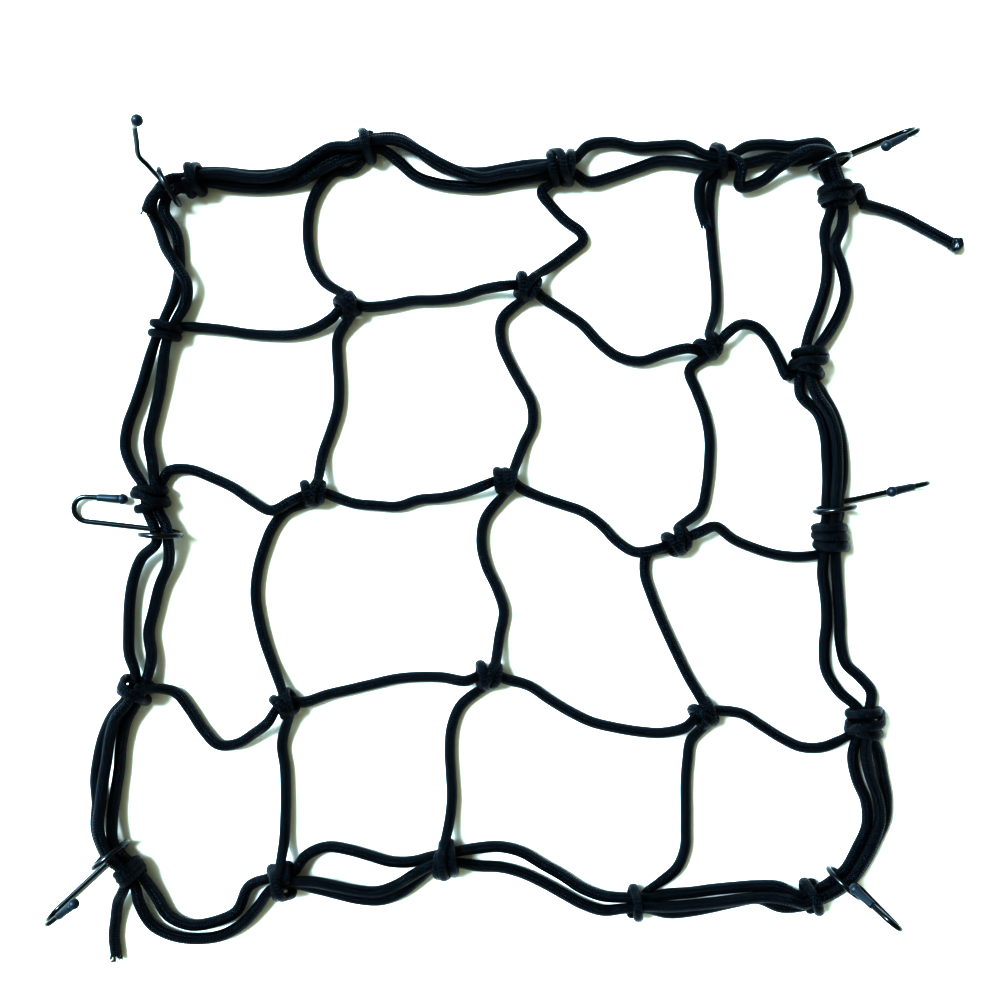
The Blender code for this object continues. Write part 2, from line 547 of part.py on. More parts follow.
def settle(strands):
    """Push the cords apart until each clears its neighbours and lies on the surface.

    Each round smooths the free points a little, draws them back to their route, and moves pieces that are
    closer than their radii and the gap directly away from each other. Fixed points never move.
    """
    table = np.vstack([strand["table"] for strand in strands])
    points = table[:, :3].copy()
    target = points.copy()
    radius = np.minimum(table[:, 3], table[:, 4])
    free = 1.0 - table[:, 5]
    floor = table[:, 4] * FLOOR_SHARE
    ends, first, second = meeting_pairs(strands)
    inner = np.zeros(len(points), dtype=bool)
    base = 0
    for strand in strands:
        inner[base + 1:base + len(strand["table"]) - 1] = True
        base += len(strand["table"])
    movable = (free[ends[:, 0]] + free[ends[:, 1]]) > 0
    useful = movable[first] | movable[second]
    first, second = first[useful], second[useful]
    near_knot = knot_neighbourhood(points, ends)
    useful = (near_knot[first] < 0) | (near_knot[first] != near_knot[second])
    first, second = first[useful], second[useful]
    for turn in range(ROUNDS_SHAPING + ROUNDS_CLEARING):
        if turn % 20 == 0:
            middles = points[ends].mean(axis=1)
            close = np.linalg.norm(middles[first] - middles[second], axis=1) < 18.0
            near_first, near_second = first[close], second[close]
        if turn < ROUNDS_SHAPING:
            shift = np.zeros_like(points)
            shift[1:-1] = 0.5 * (points[:-2] + points[2:]) - points[1:-1]
            shift[~inner] = 0.0
            points += free[:, None] * (SMOOTH_SHARE * shift + RETURN_SHARE * (target - points))
        push_apart(points, radius, free, ends, near_first, near_second)
        points[:, 2] = np.where(free > 0, np.maximum(points[:, 2], floor), points[:, 2])
    base = 0
    for strand in strands:
        count = len(strand["table"])
        strand["table"][:, :3] = points[base:base + count]
        base += count


def knot_neighbourhood(points, ends):
    """Number of the inner knot that each straight piece lies in, or -1."""
    middles = points[ends].mean(axis=1)[:, :2]
    centres = np.array(list(INNER_KNOTS.values()), dtype=float)
    distance = np.linalg.norm(middles[:, None, :] - centres[None, :, :], axis=2)
    nearest = distance.argmin(axis=1)
    return np.where(distance.min(axis=1) < CENTRE_R + 2.0, nearest, -1)


def push_apart(points, radius, free, ends, first, second):
    """Move each pair of pieces that are too close directly away from each other, in place."""
    a, b = ends[first], ends[second]
    s, t = closest_shares(points[a[:, 0]], points[a[:, 1]], points[b[:, 0]], points[b[:, 1]])
    near_a = points[a[:, 0]] * (1 - s)[:, None] + points[a[:, 1]] * s[:, None]
    near_b = points[b[:, 0]] * (1 - t)[:, None] + points[b[:, 1]] * t[:, None]
    reach = (radius[a[:, 0]] * (1 - s) + radius[a[:, 1]] * s
             + radius[b[:, 0]] * (1 - t) + radius[b[:, 1]] * t + GAP)
    away = near_a - near_b
    distance = np.linalg.norm(away, axis=1)
    hit = distance < reach
    if not hit.any():
        return
    a, b, s, t, away, distance = a[hit], b[hit], s[hit], t[hit], away[hit], distance[hit]
    away = np.where(distance[:, None] > 1e-3, away / np.maximum(distance, 1e-3)[:, None],
                    np.array((0.0, 0.0, 1.0)))
    weights = np.stack(((1 - s) * free[a[:, 0]], s * free[a[:, 1]],
                        (1 - t) * free[b[:, 0]], t * free[b[:, 1]]), axis=1)
    shares = np.stack((1 - s, s, 1 - t, t), axis=1)
    total = np.maximum((weights * shares).sum(axis=1), 0.25)
    push = PUSH_SHARE * (reach[hit] - distance) / total
    index = np.concatenate((a[:, 0], a[:, 1], b[:, 0], b[:, 1]))
    signed = np.concatenate((weights[:, 0], weights[:, 1], -weights[:, 2], -weights[:, 3])) * np.tile(push, 4)
    np.add.at(points, index, signed[:, None] * np.tile(away, (4, 1)))


def fixed_strand(points, radius):
    """A strand that others must clear and that never moves."""
    points = np.asarray(points)
    table = np.column_stack((points, np.full((len(points), 2), radius), np.ones(len(points))))
    return {"table": table, "ignores": []}


def lay_out():
    """All cords of the net after settling: name to a table of x, y, z, half width, half height, fixed."""
    strands, names = [], []

    def add(name, rows, ignores=()):
        names.append(name)
        strands.append({"table": smooth_points(rows), "ignores": list(ignores)})

    for name, entries in BORDER.items():
        add(name, border_controls(entries))
    collars = {}
    for station, row in STATIONS.items():
        if row[4] == "eye":
            continue
        middle = np.array((row[0], row[1], station_height(station)))
        loops = collar_loops(station)
        for side in (-1, 1):
            along, _ = heading_vectors(row[2])
            ring = loops.mean(axis=1) + middle + side * (KNOT_LENGTH - WRAP) / 2 * along
            names.append("")
            strands.append(fixed_strand(np.vstack((ring, ring[:1])), WRAP / 2))
            collars.setdefault(station, []).append(len(strands) - 1)
    for name in HOOKS:
        path, direction = hook_path(name)
        names.append("")
        strands.append(fixed_strand(path, WIRE_R))
        names.append("")
        tip = np.array((path[-1], path[-1] + direction * (TIP + CAP_BALL_R)))
        strands.append(fixed_strand(tip, CAP_BALL_R))
    for name, entries in COLUMNS.items():
        add(name, column_controls(entries), collars[entries[0]] + collars[entries[-1]])
    for name, entries in ROWS.items():
        lengths = row_controls(entries)
        for number, rows in enumerate(lengths):
            own = collars[entries[0]] if number == 0 else []
            if number == len(lengths) - 1:
                own = collars[entries[-1]]
            add(f"{name}{'abcd'[number]}", rows, own)
    for name, route in {**TAILS, **STUBS}.items():
        names.append(name)
        table = smooth_points([[*point, CORD_R, CORD_R, 0] for point in route])
        table[:, 5] = 1
        strands.append({"table": table, "ignores": []})
    settle(strands)
    return {name: strand["table"] for name, strand in zip(names, strands) if name}


# ---------------------------------------------------------------- meshes
def new_material(name, colour, roughness, metallic=0.0):
    """Plain Principled material."""
    material = bpy.data.materials.new(name)
    material.use_nodes = True
    shader = material.node_tree.nodes["Principled BSDF"]
    shader.inputs["Base Color"].default_value = (*colour, 1.0)
    shader.inputs["Roughness"].default_value = roughness
    shader.inputs["Metallic"].default_value = metallic
    return material


def mesh_object(name, rings, material, closed_loop=False):
    """Object whose skin joins rings of points, in millimetres, with flat ends unless it is a closed loop."""
    rings = np.asarray(rings) * 0.001
    rings[:, :, 2] = np.maximum(rings[:, :, 2], 0.0)
    count, sides = rings.shape[:2]
    mesh = bmesh.new()
    verts = [[mesh.verts.new(Vector(point)) for point in ring] for ring in rings]
    last = count if closed_loop else count - 1
    for row in range(last):
        here, after = verts[row], verts[(row + 1) % count]
        for side in range(sides):
            other = (side + 1) % sides
            mesh.faces.new((here[side], here[other], after[other], after[side]))
    if not closed_loop:
        mesh.faces.new(list(reversed(verts[0])))
        mesh.faces.new(verts[-1])
    bmesh.ops.triangulate(mesh, faces=mesh.faces[:])
    if mesh.calc_volume(signed=True) < 0:
        bmesh.ops.reverse_faces(mesh, faces=mesh.faces[:])
    data = bpy.data.meshes.new(name)
    mesh.to_mesh(data)
    mesh.free()
    data.materials.append(material)
    part = bpy.data.objects.new(name, data)
    bpy.context.scene.collection.objects.link(part)
    return part


def level_rings(table):
    """Six-sided rings round a cord's path with level facets. Each row gives place and half sizes."""
    points = table[:, :3]
    tangents = np.gradient(points, axis=0)
    tangents[1:-1] = unit(points[2:] - points[1:-1]) + unit(points[1:-1] - points[:-2])
    tangents = unit(tangents)
    across = unit(np.cross((0.0, 0.0, 1.0), tangents))
    upward = np.cross(tangents, across)
    angles = 2 * math.pi * np.arange(6) / 6
    return (points[:, None, :]
            + table[:, 3, None, None] * np.cos(angles)[None, :, None] * across[:, None, :]
            + table[:, 4, None, None] * np.sin(angles)[None, :, None] * upward[:, None, :])


def unit(vectors):
    """Vectors scaled to length one."""
    return vectors / np.linalg.norm(vectors, axis=-1, keepdims=True)


def carried_rings(points, radii, sides, first_up):
    """Rings round a wire's path, with the section carried along without twist."""
    tangents = np.gradient(points, axis=0)
    tangents[1:-1] = unit(points[2:] - points[1:-1]) + unit(points[1:-1] - points[:-2])
    tangents = unit(tangents)
    upward = np.asarray(first_up, dtype=float)
    angles = math.pi / sides + 2 * math.pi * np.arange(sides) / sides
    rings = []
    for point, tangent, radius in zip(points, tangents, radii):
        upward = upward - (upward @ tangent) * tangent
        upward = upward / np.linalg.norm(upward)
        across = np.cross(upward, tangent)
        rings.append([point + radius * (math.cos(a) * across + math.sin(a) * upward) for a in angles])
    return np.array(rings)


def union_into(base, extra):
    """Join another object to the first one and delete it."""
    modifier = base.modifiers.new("tied", "BOOLEAN")
    modifier.operation = "UNION"
    modifier.solver = "EXACT"
    modifier.object = extra
    bpy.context.view_layer.update()
    evaluated = base.evaluated_get(bpy.context.evaluated_depsgraph_get())
    joined = bpy.data.meshes.new_from_object(evaluated)
    base.modifiers.clear()
    base.data = joined
    bpy.data.objects.remove(extra)


def make_collar(station, name, material):
    """The wrap round the border strands at one station."""
    x, y = STATIONS[station][:2]
    loops = collar_loops(station) + np.array((x, y, station_height(station)))
    return mesh_object(name, loops, material, closed_loop=True)


def make_mesh_cord(name, table, tied, material):
    """A mesh cord with the edge knots that its ends are tied into."""
    cord = mesh_object(name, level_rings(table), material)
    for station in tied:
        union_into(cord, make_collar(station, f"{name}_{station}", material))
    return cord


def make_tail(name, route, material):
    """A free cord end: a bevelled curve through its route."""
    table = smooth_points([[*point, CORD_R, CORD_R, 0] for point in route])
    curve = bpy.data.curves.new(name, "CURVE")
    curve.dimensions = "3D"
    curve.bevel_depth = CORD_R * 0.001
    curve.bevel_resolution = 2
    curve.use_fill_caps = True
    spline = curve.splines.new("POLY")
    spline.points.add(len(table) - 1)
    for target, row in zip(spline.points, table):
        target.co = (*(row[:3] * 0.001), 1.0)
    curve.materials.append(material)
    tail = bpy.data.objects.new(name, curve)
    bpy.context.scene.collection.objects.link(tail)
    return tail


def make_hook(name, wire_material, cap_material):
    """Wire and tip cap of one hook, both hung on an empty on the eye's axis."""
    centre, _, axis, rise = hook_axes(name)
    path, direction = hook_path(name)
    shoulder = path[-1]
    points = np.vstack((path, shoulder + direction * 0.4, shoulder + direction * TIP))
    radii = [WIRE_R] * len(path) + [TIP_R] * 2
    wire = mesh_object(f"hook_wire_{name}", carried_rings(points, radii, 6, axis), wire_material)

    outside = [(CAP_MOUTH_R - 0.1, 0.7), (CAP_MOUTH_R, 1.0), (CAP_R, 8.2), (CAP_R - 0.2, 8.4),
               (CAP_R - 0.2, 8.7), (CAP_BALL_R, 8.9), (CAP_BALL_R, 9.9), (CAP_BALL_R * 0.8, 11.0),
               (CAP_BALL_R * 0.35, 11.7)]
    inside = [(CAP_BORE_R, TIP + BUTT_GAP), (CAP_BORE_R, 0.7)]
    cap = make_cap(f"hook_cap_{name}", shoulder, direction, rise, outside, inside, cap_material)

    pivot = bpy.data.objects.new(f"pivot_{name}", None)
    bpy.context.scene.collection.objects.link(pivot)
    pivot.location = centre * 0.001
    for part in (wire, cap):
        part.parent = pivot
        part.matrix_parent_inverse = Matrix.Translation(-Vector(centre * 0.001))


def make_cap(name, shoulder, direction, rise, outside, inside, material):
    """Turned cap with a blind bore: an outer profile and the bore's profile, as (radius, along) rows."""
    upward = rise - (rise @ direction) * direction
    upward = upward / np.linalg.norm(upward)
    across = np.cross(upward, direction)
    sides = 8
    angles = 2 * math.pi * np.arange(sides) / sides

    def ring(radius, along):
        return [shoulder + direction * along + radius * (math.cos(a) * across + math.sin(a) * upward)
                for a in angles]

    rings = [ring(*row) for row in inside + outside]
    return mesh_object(name, rings, material)


# ---------------------------------------------------------------- the whole net
def main():
    """Clear the scene and make every piece of the net."""
    for old in list(bpy.data.objects):
        bpy.data.objects.remove(old)
    cord = new_material("elastic_cord", (0.012, 0.014, 0.02), 0.62)
    wire = new_material("hook_wire", (0.02, 0.024, 0.032), 0.28, 0.6)
    plastic = new_material("tip_cap", (0.025, 0.028, 0.034), 0.42)
    tables = lay_out()
    for name in BORDER:
        mesh_object(name, level_rings(tables[name]), cord)
    for name, entries in COLUMNS.items():
        make_mesh_cord(name, tables[name], (entries[0], entries[-1]), cord)
    for name, entries in ROWS.items():
        make_mesh_cord(f"{name}a", tables[f"{name}a"], (entries[0],), cord)
        make_mesh_cord(f"{name}b", tables[f"{name}b"], (), cord)
        make_mesh_cord(f"{name}c", tables[f"{name}c"], (), cord)
        make_mesh_cord(f"{name}d", tables[f"{name}d"], (entries[-1],), cord)
    for station, label in (("TL", "top_left"), ("TR", "top_right"), ("BL", "bottom_left"),
                           ("BR", "bottom_right")):
        make_collar(station, f"corner_knot_{label}", cord)
    for name in STUBS:
        mesh_object(name, level_rings(tables[name]), cord)
    for name, route in TAILS.items():
        make_tail(name, route, cord)
    for name in HOOKS:
        make_hook(name, wire, plastic)


main()
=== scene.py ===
"""Looks of a knotted elastic cargo net: braided cords, knots, cord ends, wire hooks and tip caps.

The net lies on z = 0 with +X to its right and +Y to its top, as in the CAD. Layout and shapes are worked out
in millimetres, and every mesh is written in metres. NetLayout repeats the CAD's routes, so each cord runs
where its solid lies. The other classes carry round sections along those routes and dress the result.
"""

import logging
import math
from dataclasses import dataclass
from enum import Enum

import bpy
import numpy as np
from bpy.types import Material, Node, NodeSocket, NodeTree, Object
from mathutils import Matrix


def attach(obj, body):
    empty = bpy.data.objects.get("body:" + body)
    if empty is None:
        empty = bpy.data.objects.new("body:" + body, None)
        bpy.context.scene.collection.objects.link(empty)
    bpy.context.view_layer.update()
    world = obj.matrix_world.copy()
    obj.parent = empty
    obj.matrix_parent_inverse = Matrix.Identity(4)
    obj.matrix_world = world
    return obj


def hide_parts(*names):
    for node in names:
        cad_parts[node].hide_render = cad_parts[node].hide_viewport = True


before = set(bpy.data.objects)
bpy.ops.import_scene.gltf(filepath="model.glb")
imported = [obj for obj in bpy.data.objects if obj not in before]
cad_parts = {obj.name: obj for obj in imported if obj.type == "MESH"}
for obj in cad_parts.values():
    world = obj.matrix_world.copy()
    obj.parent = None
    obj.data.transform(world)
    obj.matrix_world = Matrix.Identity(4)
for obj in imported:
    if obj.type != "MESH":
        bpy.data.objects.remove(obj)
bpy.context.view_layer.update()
LOG = logging.getLogger("cargo_net")

Array = np.ndarray
Rows = list[list[float]]
Strands = list[tuple[str, Array, list[int]]]
Colour = tuple[float, float, float]
MM = 0.001              # metres in a millimetre
UP = np.array((0.0, 0.0, 1.0))
NET_BODY = "net"
NOISE_RANGE = (0.3, 0.7)        # where most of a noise's values lie
WIND_STEP = 20.0                # degrees of a wound cord between its rows
WIND_EASE = np.array((1.0, 2.0, 3.0, 2.0, 1.0)) / 9.0       # smoothing of its shifts and lifts
PER_SPAN = 8                    # points of a smooth curve between two of its rows
YARN_ROUNDNESS = 0.6            # power that rounds a yarn's profile
CREST_START = 0.55              # height above which a yarn counts as crest


# ---- named options
class Bundle(Enum):
    """How border strands are gathered: (outward, upward) of each strand as shares of their pitch."""

    PAIR = ((0.5, 0.0), (-0.5, 0.0))
    TRIANGLE = ((0.5, -0.2887), (-0.5, -0.2887), (0.0, 0.5774))


class Place(Enum):
    """What gathers the border strands at a station."""

    EDGE = "edge knot"
    CORNER = "corner knot"
    EYE = "eye of a hook"


class Slot(Enum):
    """Material slots of the record."""

    CORD = "elastic_cord"
    WIRE = "hook_wire"
    CAP = "tip_cap"


class KnotStyle(Enum):
    """How a cord is wound in a knot, as rows of angle in degrees, shift along the knot and lift off it.

    The angle runs round the bundle: 0 at its left, 90 on top, 180 at its right and 270 below. Shift and
    lift are in millimetres. The first row is where the cord arrives.
    """

    RING = ((215, -1.6, -0.4), (270, -1.5, 0.0), (360, -1.2, 0.0), (450, 0.2, 0.6), (540, 1.2, 0.2),
            (630, 1.6, 0.0), (700, 1.4, -0.9))
    BIG = ((215, 3.6, -0.4), (270, 3.8, 0.0), (360, 4.2, 0.0), (450, 3.4, 0.4), (540, 2.0, 0.2),
           (630, -1.0, 0.0), (720, -4.0, 0.0), (810, -3.6, 0.4), (900, -2.4, 0.2), (990, -2.4, 0.0),
           (1080, -3.2, 0.6), (1170, 0.4, 2.3), (1260, 3.0, 0.5), (1350, 2.4, 0.0), (1410, 1.4, -0.9))
    DOUBLE = ((215, 2.4, -0.4), (270, 2.3, 0.0), (360, 2.4, 0.0), (450, 1.9, 0.5), (540, 1.6, 0.2),
              (630, 0.0, 0.2), (720, -1.9, 0.0), (810, -2.2, 0.7), (900, -2.0, 0.2), (990, -1.4, 0.0),
              (1050, -1.2, -0.9))
    CROSS = ((150, -1.6, 0.9), (90, -2.2, 0.4), (0, -2.3, 0.0), (-90, -1.0, 0.0), (-180, 0.9, 0.0),
             (-270, -0.4, 2.3), (-360, -0.6, 0.4), (-450, 1.2, 0.0), (-540, 2.5, 0.0), (-630, 2.5, 0.3),
             (-720, 2.2, 0.0), (-790, 1.9, -0.9))
    COIL = ((215, -3.2, -0.4), (270, -3.2, 0.0), (360, -3.4, 0.0), (450, -2.4, 0.5), (540, -1.6, 0.1),
            (630, -0.8, 0.0), (720, -0.6, 0.1), (810, 0.4, 0.8), (900, 1.2, 0.1), (990, 2.0, 0.0),
            (1080, 2.4, 0.1), (1170, 3.2, 0.4), (1260, 3.4, 0.0), (1330, 3.4, -0.9))
    HITCH = ((140, 0.4, 1.2), (90, 0.8, 1.0), (0, 1.8, 0.0), (-90, 2.3, 0.0), (-180, 2.2, 0.0),
             (-270, 0.2, 2.2), (-360, -1.8, 0.2), (-450, -2.3, 0.0), (-540, -2.3, 0.0), (-620, -2.2, -0.7))
    SLANT = ((20, 2.6, 1.7), (90, 0.4, 1.8), (180, -2.6, 0.0), (270, -3.0, 0.0), (360, -3.6, 0.1),
             (450, -1.7, 2.1), (540, 0.4, 0.5), (630, 2.2, 0.0), (720, 3.4, 0.0), (810, 3.5, 0.0),
             (870, 2.6, 0.1), (910, 1.0, 0.0))
    FOUR_LOBES = ((20, 2.2, 0.4), (90, 0.2, 0.7), (180, -2.6, 0.2), (270, -3.0, 0.0), (360, -3.0, 0.3),
                  (450, -0.2, 2.4), (540, 2.5, 0.4), (630, 3.0, 0.0), (720, 3.2, 0.2), (810, 2.6, 0.9),
                  (880, 0.6, 0.2))
    BANDS = ((20, 3.0, 0.6), (90, 2.6, 0.8), (180, 1.5, 0.2), (270, -1.0, 0.0), (360, -3.7, 0.2),
             (450, -2.5, 0.9), (540, -1.3, 0.3), (630, -0.8, 0.0), (720, -0.4, 0.2), (810, 0.6, 1.3),
             (900, 1.4, 0.2))


# ---- where things lie, millimetres
@dataclass(frozen=True)
class Station:
    """A place where the border strands are gathered, with the heading of the border in degrees."""

    x: float
    y: float
    heading: float
    place: Place = Place.EDGE
    bundle: Bundle = Bundle.TRIANGLE


@dataclass(frozen=True)
class HookPose:
    """How a hook lies: angles in degrees, and the side of its eye's loose end."""

    station: str
    azimuth: float
    elevation: float
    bend: float
    roll: float
    side: int
    sideways: float


@dataclass(frozen=True)
class KnotTurn:
    """Style of a knot, and how it is changed.

    It is turned by degrees about the vertical, mirrored along the bundle, scaled, and stretched along the
    bundle. Arrives is where its first row lies along the bundle, in millimetres.
    """

    style: KnotStyle
    arrives: float | None = None
    turned: float = 0.0
    mirrored: bool = False
    scale: float = 1.0
    stretch: float = 1.0


# Inner knots: x, y.
INNER_KNOTS = {
    "K11": (-65, 72), "K12": (9, 80), "K13": (84, 55),
    "K21": (-79, -5), "K22": (0, 0), "K23": (71, -25),
    "K31": (-91, -92), "K32": (-7, -80), "K33": (82, -96),
}

# Stations, clockwise.
STATIONS = {
    "TL": Station(-128, 124, 15, Place.CORNER),
    "T1": Station(-57, 138, 15),
    "T2": Station(23, 129, 5),
    "T3": Station(88, 132, 0),
    "HTR": Station(133, 130.5, -75, Place.EYE),
    "TR": Station(136.5, 118, -84, Place.CORNER),
    "R1": Station(125, 49, -100),
    "HR": Station(134.8, -11.5, -88, Place.EYE),
    "R2": Station(134, -23.5, -90),
    "R3": Station(148, -99, -90),
    "HBR": Station(139, -164, -140, Place.EYE),
    "BR": Station(126.5, -171.5, 200, Place.CORNER),
    "B3": Station(54, -174, 180),
    "B2": Station(-25, -156, 190),
    "B1": Station(-92, -165, 192),
    "BL": Station(-154.5, -161, 133, Place.CORNER),
    "HBL": Station(-161.5, -153, 126, Place.EYE),
    "L3": Station(-152, -86, 67),
    "HL": Station(-141, -22, 98, Place.EYE, Bundle.PAIR),
    "L2": Station(-146, -7, 97, bundle=Bundle.PAIR),
    "L1": Station(-140, 62, 67, bundle=Bundle.PAIR),
    "HTL": Station(-138, 120, 39, Place.EYE, Bundle.PAIR),
}

# Border strands, each from one knot to the next. Strand a is the outer one. An entry is
# (station, place in its bundle) or a point (x, y) or (x, y, z).
BORDER = {
    "top_border_a": (
        ("TL", 0), (-120, 127.5), (-111, 126.5), (-98, 126.5), (-87, 128), (-77, 131.5), (-68, 136),
        ("T1", 0), (-44, 141), (-37, 138), (-30, 132), (-23, 129), (-15, 128), (-6, 128), (2, 130),
        (12, 131), ("T2", 0), (32, 138), (39, 140.5), (48, 140.5), (57, 137.5), (65, 139), (76, 139),
        ("T3", 0), (98, 138), (107, 139.5), (118, 138.5), (126, 135.5), ("HTR", 0), ("TR", 0)),
    "top_border_b": (
        ("TL", 1), (-120, 123), (-111, 122), (-98, 122), (-87, 124), (-77, 128), (-68, 132), ("T1", 1),
        (-46, 130), (-38, 126.5), (-27, 123), (-17, 122), (-7, 122), (1, 124), (10, 125.5), ("T2", 1),
        (34, 123), (40, 124), (48, 128), (56, 130), (66, 133.3), (76, 133), ("T3", 1), (99, 133),
        (111, 134), (121, 131.5), ("HTR", 1), ("TR", 1)),
    "top_border_c": (
        ("TL", 2), (-120, 126, 7), (-111, 125, 7), (-98, 124, 7), (-87, 127, 7), (-77, 130, 7),
        (-68, 135, 8), ("T1", 2), (-47, 140, 7.6), (-38, 137, 7.6), (-29, 131.5, 7.6), (-21, 127.5, 7.6),
        (-9, 124, 7), (0, 126, 7), (10, 127, 8), ("T2", 2)),
    "top_border_loop": (
        ("T3", 2), (93, 126.5, 8), (96, 120.5, 5), (103, 121.5, 4), (110, 127, 6), (118, 132.5, 8),
        ("HTR", 2), ("TR", 2)),
    "right_border_a": (
        ("TR", 0), (133, 106, 7.8), (134.3, 97, 7.8), (139, 88, 5), (141.5, 79), (139.5, 71), (134.5, 62),
        ("R1", 0), (130.5, 37), (136, 28), (139, 19), (140, 8), (139.5, 0), ("HR", 0), ("R2", 0),
        (137, -36), (138, -47), (139, -58), (139, -67), (141, -76), (147, -81), (152, -87), ("R3", 0),
        (154, -111), (156, -120), (158, -129), (158.5, -138), (154.5, -147), ("HBR", 0), ("BR", 0)),
    "right_border_b": (
        ("TR", 1), (132.7, 106), (133.7, 97), (134.3, 90), (133, 81), (130, 71), (126, 62), ("R1", 1),
        (125, 36), (130.5, 28), (133, 19), (133.5, 8), (133.5, 0), ("HR", 1), ("R2", 1), (131, -36),
        (132, -44), (134, -53), (133, -62), (132, -71), (132.5, -78), (137.5, -87), ("R3", 1),
        (143.5, -112), (144.5, -121), (149, -130), (151, -139), (148.5, -148), ("HBR", 1), ("BR", 1)),
    "right_border_c": (
        ("R1", 2), (127, 37, 8), (133, 28, 7), (136, 19, 7), (136.5, 9, 7), (136, -1, 9), ("HR", 2),
        ("R2", 2)),
    "right_border_d": (
        ("R3", 2), (147.5, -110, 8), (149.5, -120, 7), (153, -129, 7), (154.5, -138, 7), (151.5, -147, 8),
        ("HBR", 2), ("BR", 2)),
    "bottom_border_a": (
        ("BR", 0), (117, -172.5), (104, -172.5), (89, -176), (74, -178.5), (64, -178.5), ("B3", 0),
        (43, -178), (35, -177), (28, -173), (22, -170), (17, -167), (10, -164), (2, -160), (-8, -160),
        (-16, -158), ("B2", 0), (-37, -165.5), (-43, -170.5), (-49, -173.5), (-56, -174), (-64, -172.5),
        (-73, -170), (-83, -167), ("B1", 0), (-102, -176), (-108, -183), (-115, -188), (-125, -190),
        (-133, -190), (-140, -188), (-147, -184), (-151, -177), (-152, -170), ("BL", 0)),
    "bottom_border_b": (
        ("BR", 1), (117, -168), (105, -168), (89, -169), (74, -171), (63, -171), ("B3", 1), (45, -173),
        (38, -171), (30, -168), (23, -163), (14, -158), (10, -155), (2, -152), (-8, -151), (-16, -153),
        ("B2", 1), (-35, -157), (-42, -158), (-49, -157.7), (-55, -155.7), (-63, -153.3), (-70, -151.5),
        (-77, -151.5), (-83, -155), ("B1", 1), (-102, -169), (-106, -174), (-110.5, -178.5), (-117, -182),
        (-125, -184), (-132, -184.5), (-138, -182), (-142, -178), (-145, -173), (-148, -168), ("BL", 1)),
    "bottom_border_c": (
        ("BR", 2), (117, -170, 8), (104, -171, 7), (89, -173, 7), (74, -175, 6), (63, -175, 8), ("B3", 2)),
    "bottom_border_d": (
        ("B2", 2), (-36, -161, 8), (-43, -166, 6), (-51, -169.5, 5.5), (-59, -169.5, 5.5), (-67, -167.5, 6),
        (-76, -165.5, 7), (-83, -164, 8), ("B1", 2)),
    "left_border_a": (
        ("BL", 0), ("HBL", 0), (-168, -138), (-170, -127), (-169, -116), (-167, -107), (-164, -99),
        ("L3", 0), (-155, -76), (-156, -68), (-156, -60), (-156, -53), (-155, -46), (-153.5, -38),
        (-150, -31), ("HL", 0), ("L2", 0), (-153, 3), (-156, 9), (-158, 15), (-157, 22), (-155, 28),
        (-152, 35), (-149.5, 43), (-147, 51), ("L1", 0), (-139, 72), (-136, 78), (-135, 86), (-135.5, 94),
        (-136, 102, 3), (-141, 110, 7), ("HTL", 1), ("TL", 1)),
    "left_border_b": (
        ("BL", 1), ("HBL", 1), (-162.5, -138), (-161.5, -130), (-160, -121), (-159.5, -112), (-158.5, -104),
        (-155.5, -96), ("L3", 1), (-149, -76), (-148.3, -70), (-147.8, -63), (-146, -55), (-144, -47),
        (-142, -39), (-141, -31), ("HL", 1), ("L2", 1), (-144, 3), (-147, 10), (-148, 16), (-147, 23),
        (-144.3, 31), (-143, 38), (-142, 45), (-140.5, 52), ("L1", 1), (-133, 71), (-130.7, 77, 3),
        (-131.5, 84, 8), (-137, 92, 8), (-141, 100, 4), (-143.5, 109), (-144, 115, 4), ("HTL", 0),
        ("TL", 0)),
    "left_border_c": (
        ("BL", 2), ("HBL", 2), (-166, -139, 8), (-166, -128, 7), (-164, -117, 7), (-163, -108, 7),
        (-160, -97, 8), ("L3", 2)),
}

# Mesh cords. The first and last entries are the edge knots that the ends are tied into.
COLUMNS = {
    "column_cord_1": (
        "T1", (-66, 134), (-73.5, 131), (-78.5, 122), (-81.5, 111), (-82, 101), (-80, 90), (-75, 82), "K11",
        (-70, 60), (-70, 53), (-69, 45), (-69, 34), (-70, 26), (-73, 19), (-76, 12), "K21", (-90, -11),
        (-95, -16), (-99, -24), (-102, -34), (-104, -43), (-103, -53), (-101, -63), (-98, -72), (-95, -80),
        "K31", (-93, -107), (-92, -114), (-91, -122), (-91, -130), (-91, -138), (-91.5, -147), "B1"),
    "column_cord_2": (
        "T2", (14, 120), (17, 116), (22, 111), (27, 106), (32, 103), (33, 100), (30, 97), (24, 93),
        (18, 88), "K12", (0, 72), (-2, 65), (-2, 58), (1, 51), (5, 43), (10, 36), (12, 29), (12, 24),
        (9, 17), (5, 11), "K22", (-8, -14), (-10, -23), (-10, -31), (-7, -37), (-4, -43), (-1, -50),
        (0, -57), (-2, -63), (-4, -70), "K32", (-18, -92), (-22, -100), (-23, -108), (-23, -117),
        (-22, -125), (-22, -133), (-23, -141), "B2"),
    "column_cord_3": (
        "T3", (84, 118), (85, 106), (86, 97), (87, 87), (88, 76), (87, 66), "K13", (76, 47), (77.5, 42),
        (80.5, 35), (83.5, 27), (85, 19), (85, 10), (84, 2), (83.5, -6), (81, -13), "K23", (59, -29),
        (57, -35), (59, -42), (62, -51), (66, -60), (70, -69), (74, -77), (78, -85), "K33", (77, -107),
        (76, -113), (75, -123), (75, -133), (75, -143), (75, -152), (72, -161), "B3"),
}
